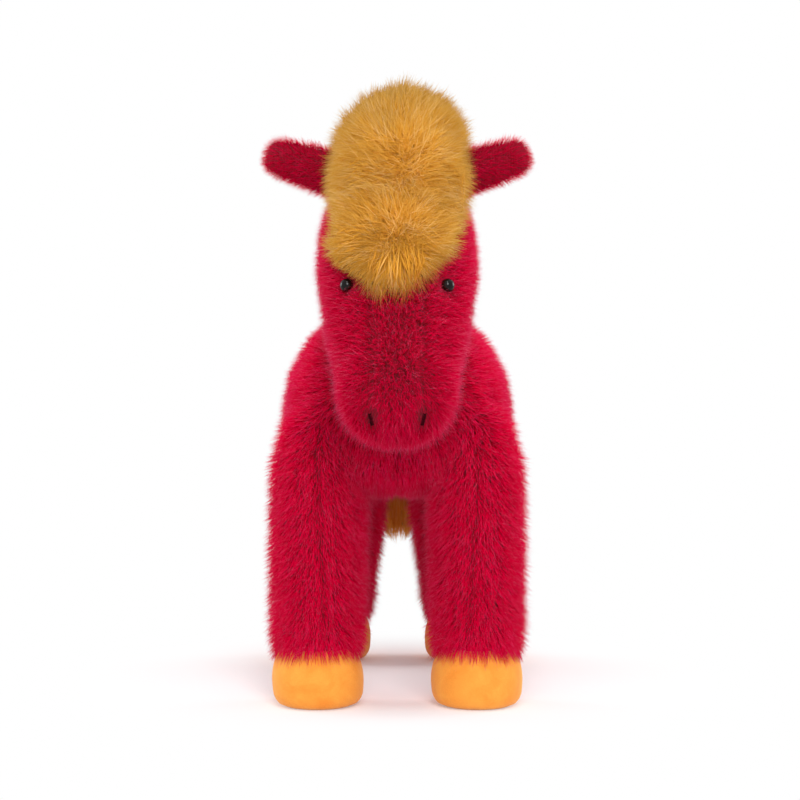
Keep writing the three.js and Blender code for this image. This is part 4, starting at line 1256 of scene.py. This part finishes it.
def turned(name, profile, sides, centre, material, dent=0.0):
    """A closed ring profile turned about a vertical line, with soft dents in its face."""
    turns = np.arange(sides) * 2 * math.pi / sides
    points = []
    for radius, height in profile:
        wave = (0.6 * np.sin(3 * turns + 90 * height + centre[0] * 300)
                + 0.4 * np.sin(5 * turns - 160 * height + centre[1] * 200))
        out = radius + dent * wave
        points.extend((centre[0] + r * math.cos(t), centre[1] + r * math.sin(t), height)
                      for r, t in zip(out, turns))
    made = smooth_piece(name, points, tube_faces(len(profile), sides, looped=True), material)
    shape = bmesh.new()
    shape.from_mesh(made.data)
    bmesh.ops.recalc_face_normals(shape, faces=shape.faces)
    shape.to_mesh(made.data)
    shape.free()
    return made


# %% Hooves
HOOF_SIDES = 96
ROUND_HEIGHT = 6.5 * MM
HOOF_DENT = 0.25 * MM
HOOF_SWELL = 1.2 * MM
UNDER_PILE = 1.5 * MM


def hoof_profile(cup_low, cup_high, radius, sole):
    """Up the outside, over the hem and down the inside of the cup."""
    wall = 2 * MM
    belly = 0.45 * cup_high
    outside, inside = [], []
    for height in np.linspace(cup_low, cup_high + UNDER_PILE, 22):
        bend = np.clip((height - cup_low) / ROUND_HEIGHT, 0, 1)
        round_in = (radius - sole) * (1 - math.sqrt(1 - (1 - bend) ** 2))
        draw_in = 0.10 * radius * max(0, (height - belly) / (cup_high - belly)) ** 2
        swell = HOOF_SWELL * math.sin(math.pi * min(1, (height - cup_low) / (cup_high - cup_low)))
        out = radius - round_in - draw_in + swell
        outside.append((out, height))
        inside.append((max(sole, out - wall), max(height, cup_low + wall)))
    return outside + inside[::-1]


def sole_profile(radius, thickness):
    """A flat disc with a rounded edge, closed over by a tiny ring at each middle."""
    tiny = 0.05 * MM
    edge = [(radius - 0.5 * thickness * (1 - math.sin(a)), 0.5 * thickness * (1 - math.cos(a)))
            for a in np.linspace(0, math.pi, 9)]
    return [(tiny, 0), *edge, (tiny, thickness)]


for leg in LEGS:
    low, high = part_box(leg + "_hoof_cup")
    sole_low, sole_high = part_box(leg + "_hoof_sole")
    centre = (low + high) / 2
    sole_radius = (sole_high.x - sole_low.x) / 2
    profile = hoof_profile(low.z, high.z, (high.x - low.x) / 2, sole_radius + 0.2 * MM)
    cup = turned(leg + "_hoof", profile, HOOF_SIDES, centre, suede, HOOF_DENT)
    disc = turned(leg + "_sole", sole_profile(sole_radius - 0.1 * MM, sole_high.z), HOOF_SIDES,
                  centre, suede)
    for made, node_name in ((cup, "_hoof_cup"), (disc, "_hoof_sole")):
        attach(made, "leg_" + leg)
        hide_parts(leg + node_name)
print("four hooves,", round(2000 * sole_radius, 1), "mm soles")

# %% [markdown]
# ## Eyes
# The eyes are safety eyes: a glossy domed bead on a shank, which a washer locks behind the
# face. The dome is turned once and set along the way that the face looks at each eye.


# %% Bead eyes
def bead_material():
    """Near black at the middle of the dome, a little browner towards its rim and the shank, under a clear gloss.
    """
    node, finish = new_material("bead")
    place = node("ShaderNodeUVMap", uv_map="turn")
    split = node("ShaderNodeSeparateXYZ", {0: place.outputs[0]})
    ramp = node("ShaderNodeValToRGB", {0: split.outputs[1]})
    ramp.color_ramp.elements[0].color = (0.002, 0.001, 0.001, 1)
    ramp.color_ramp.elements[0].position = 0.35
    ramp.color_ramp.elements[1].color = (0.02, 0.006, 0.003, 1)
    return finish({"Base Color": ramp.outputs[0], "Roughness": 0.06, "Specular IOR Level": 0.2})


bead = bead_material()
BEAD_RINGS, BEAD_SIDES = 14, 32


def centre_of(name):
    return Vector(np.mean([tuple(v.co) for v in nodes[name].data.vertices], axis=0))


def bead_eye(side):
    """A dome with a rounded rim and a shank behind it."""
    eye_middle = centre_of("eye_" + side)
    way = (eye_middle - centre_of("eye_washer_" + side)).normalized()
    offsets = [v.co - eye_middle for v in nodes["eye_" + side].data.vertices]
    radius = max((off - way * off.dot(way)).length for off in offsets)
    base = eye_middle + way * (max(off.dot(way) for off in offsets) - radius)
    profile = [(radius * math.sin(a), radius * math.cos(a))
               for a in np.linspace(0.02, 0.5 * math.pi, BEAD_RINGS)]
    profile += [(0.96 * radius, -0.4 * MM), (1.0 * MM, -0.5 * MM), (1.0 * MM, -4.8 * MM),
                (0.02 * MM, -4.9 * MM)]
    turn = way.to_track_quat("Z", "Y").to_matrix()
    points, places = [], []
    for k, (out, up) in enumerate(profile):
        for i in range(BEAD_SIDES):
            angle = 2 * math.pi * i / BEAD_SIDES
            local = Vector((out * math.cos(angle), out * math.sin(angle), up))
            points.append(base + turn @ local)
            places.append((i / BEAD_SIDES, k / (len(profile) - 1)))
    faces = tube_faces(len(profile), BEAD_SIDES)
    made = smooth_piece("bead_eye_" + side, points, faces, bead)
    layer = made.data.uv_layers.new(name="turn")
    for loop in made.data.loops:
        layer.data[loop.index].uv = places[loop.vertex_index]
    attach(made, "head")
    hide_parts("eye_" + side)
    return way


for side in SIDES:
    print("eye", side, "looks along", [round(v, 2) for v in bead_eye(side)])


# %% [markdown]
# ## Stitches
# Each nostril is a short bar of satin stitch: turns of dark thread laid side by side over
# the seam of the face. The belly seam is closed by hand with a ladder stitch. Both are one
# tree: a stitch is placed at even steps along a line, turned across it.

# %% Thread
def twist(node, place):
    """Fine slanted strands across the length of a thread."""
    wave = node("ShaderNodeTexWave", {"Vector": place, "Scale": 900.0, "Distortion": 1.0},
                bands_direction="DIAGONAL")
    return wave.outputs["Fac"]


def thread_material(name, dark, light):
    return patterned(name, dark, light, twist, 0.5, 0.1 * MM,
                     {"Roughness": 0.6, "Specular IOR Level": 0.03})


dark_thread = thread_material("dark_thread", (0.012, 0.0, 0.001), (0.06, 0.0, 0.005))
red_thread = thread_material("red_thread", (0.26, 0.003, 0.02), (0.5, 0.01, 0.05))
THREAD_SIDES, THREAD_STEPS = 6, 8


def thread_stitch(name, slimness):
    """An arched stitch one unit long on X, standing half its thread into the cloth."""
    points = []
    for k in range(THREAD_STEPS + 1):
        share = k / THREAD_STEPS
        x, z = share - 0.5, 0.32 * math.sin(math.pi * share) - 0.12
        half = 0.5 * slimness * (0.55 + 0.45 * math.sin(math.pi * share))
        for i in range(THREAD_SIDES):
            turn = 2 * math.pi * i / THREAD_SIDES
            points.append((x, half * math.cos(turn), z + half * math.sin(turn)))
    made = mesh_object(name, points, tube_faces(THREAD_STEPS + 1, THREAD_SIDES))
    made.data.shade_smooth()
    return made


# %% The stitch tree
STITCH_INPUTS = [
    ("Geometry", "NodeSocketGeometry", None),
    ("Stitch", "NodeSocketObject", None),
    ("Finish", "NodeSocketMaterial", None),
    ("Spacing", "NodeSocketFloat", 0.001),
    ("Stitch length", "NodeSocketFloat", 0.002),
    ("Slant", "NodeSocketFloat", 0.0),
    ("Out", "NodeSocketVector", (0, 0, 1)),
    ("Seed", "NodeSocketInt", 3),
]


def stitch_tree():
    """Stitches at even steps along a line, each laid across it and facing out."""
    tree, node, given = new_tree("stitches", STITCH_INPUTS)
    line = node("GeometryNodeMeshToCurve", {0: given["Geometry"]})
    spots = node("GeometryNodeCurveToPoints", {"Curve": line.outputs[0],
                                               "Length": given["Spacing"]}, mode="LENGTH")
    out = node("FunctionNodeAlignRotationToVector", {"Vector": given["Out"]}, axis="Z")
    across = node("ShaderNodeVectorMath", {0: spots.outputs["Tangent"], 1: given["Out"]},
                  operation="CROSS_PRODUCT").outputs[0]
    slanted = node("ShaderNodeVectorMath", {0: spots.outputs["Tangent"], 1: given["Slant"],
                                            2: across}, operation="MULTIPLY_ADD").outputs[0]
    turn = node("FunctionNodeAlignRotationToVector", {
        "Rotation": out.outputs[0], "Vector": slanted}, axis="X", pivot_axis="Z")
    vary = node("FunctionNodeRandomValue", {2: 0.85, 3: 1.1, "Seed": given["Seed"]},
                data_type="FLOAT").outputs[1]
    size = node("ShaderNodeMath", {0: vary, 1: given["Stitch length"]},
                operation="MULTIPLY").outputs[0]
    source = node("GeometryNodeObjectInfo", {"Object": given["Stitch"]})
    placed = node("GeometryNodeInstanceOnPoints", {
        "Points": spots.outputs["Points"], "Instance": source.outputs["Geometry"],
        "Rotation": turn.outputs[0], "Scale": size})
    real = node("GeometryNodeRealizeInstances", {"Geometry": placed.outputs[0]})
    done = node("GeometryNodeSetMaterial", {"Geometry": real.outputs[0],
                                            "Material": given["Finish"]})
    node("NodeGroupOutput", {0: done.outputs[0]})
    return tree


stitches = stitch_tree()


def sew(name, line, **values):
    """A row of stitches along a line from one point to another, as one plain mesh."""
    return run_tree(name, mesh_object(name, line, [], [(0, 1)]), stitches, values)


# %% Nostrils and the closing seam
satin = thread_stitch("satin_stitch", 0.26)
ladder = thread_stitch("ladder_stitch", 0.18)
for side in SIDES:
    low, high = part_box("nostril_stitch_" + side)
    centre = (low + high) / 2
    spot, way, _, _ = coat_tree.find_nearest(centre)
    lie = Vector((0, 0, 1)) - way * way.z
    lie.normalize()
    half = 0.5 * (high.z - low.z) / max(lie.z, 0.5)
    line = [centre - lie * half * 0.86, centre + lie * half * 0.86]
    bar = sew("nostril_" + side, line, Stitch=satin, Finish=dark_thread, Spacing=0.42 * MM,
              **{"Stitch length": 1.7 * MM, "Out": tuple(way)})
    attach(bar, "head")
    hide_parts("nostril_stitch_" + side)

low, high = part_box("closing_stitch")
middle_x = (low.x + high.x) / 2
seam_line = [Vector((middle_x, low.y, high.z)), Vector((middle_x, high.y, high.z))]
closing = sew("belly_stitches", seam_line, Stitch=ladder, Finish=red_thread, Spacing=3 * MM,
              **{"Stitch length": 3.2 * MM, "Slant": 0.35, "Out": (0, 0, -1)})
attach(closing, "torso")
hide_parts("closing_stitch")

# %% [markdown]
# ## What stays from the frame
# The eye washers and the pellet bags are hidden in the toy, and their CAD shapes are right.
# They only get a finish: moulded plastic with a fine grain, and a plain weave.


# %% Finishes for hidden pieces
def moulded(node, place):
    """The faint grain of moulded plastic."""
    return node("ShaderNodeTexNoise", {"Vector": place, "Scale": 900.0}).outputs[0]


def plain_weave(node, place):
    """Threads over and under each other, seen as a fine check."""
    return node("ShaderNodeTexChecker", {"Vector": place, "Scale": 1400.0}).outputs["Fac"]


washer_plastic = patterned("washer_plastic", (0.7, 0.7, 0.7), (0.8, 0.8, 0.8), moulded,
                           0.2, 0.1 * MM, {"Roughness": 0.45})
bag_weave = patterned("bag_weave", (0.5, 0.47, 0.4), (0.8, 0.76, 0.66), plain_weave,
                      0.5, 0.1 * MM, {"Roughness": 0.9})
for name, made in nodes.items():
    if name.startswith("eye_washer") or name.endswith("pellet_bag"):
        made.data.materials.clear()
        made.data.materials.append(washer_plastic if "washer" in name else bag_weave)

# %% [markdown]
# ## Close the scene
# The helper strands and stitches are removed, and the box around the dressed toy is printed, so that it can be set
# against its frame.

# %% Sizes and the end
for helper in (short_strand, fine_strand, long_strand, loose_strand, satin, ladder):
    bpy.data.objects.remove(helper)
low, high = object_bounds()
print("visual box", [round(1000 * v, 1) for v in (*low, *high)], "mm")
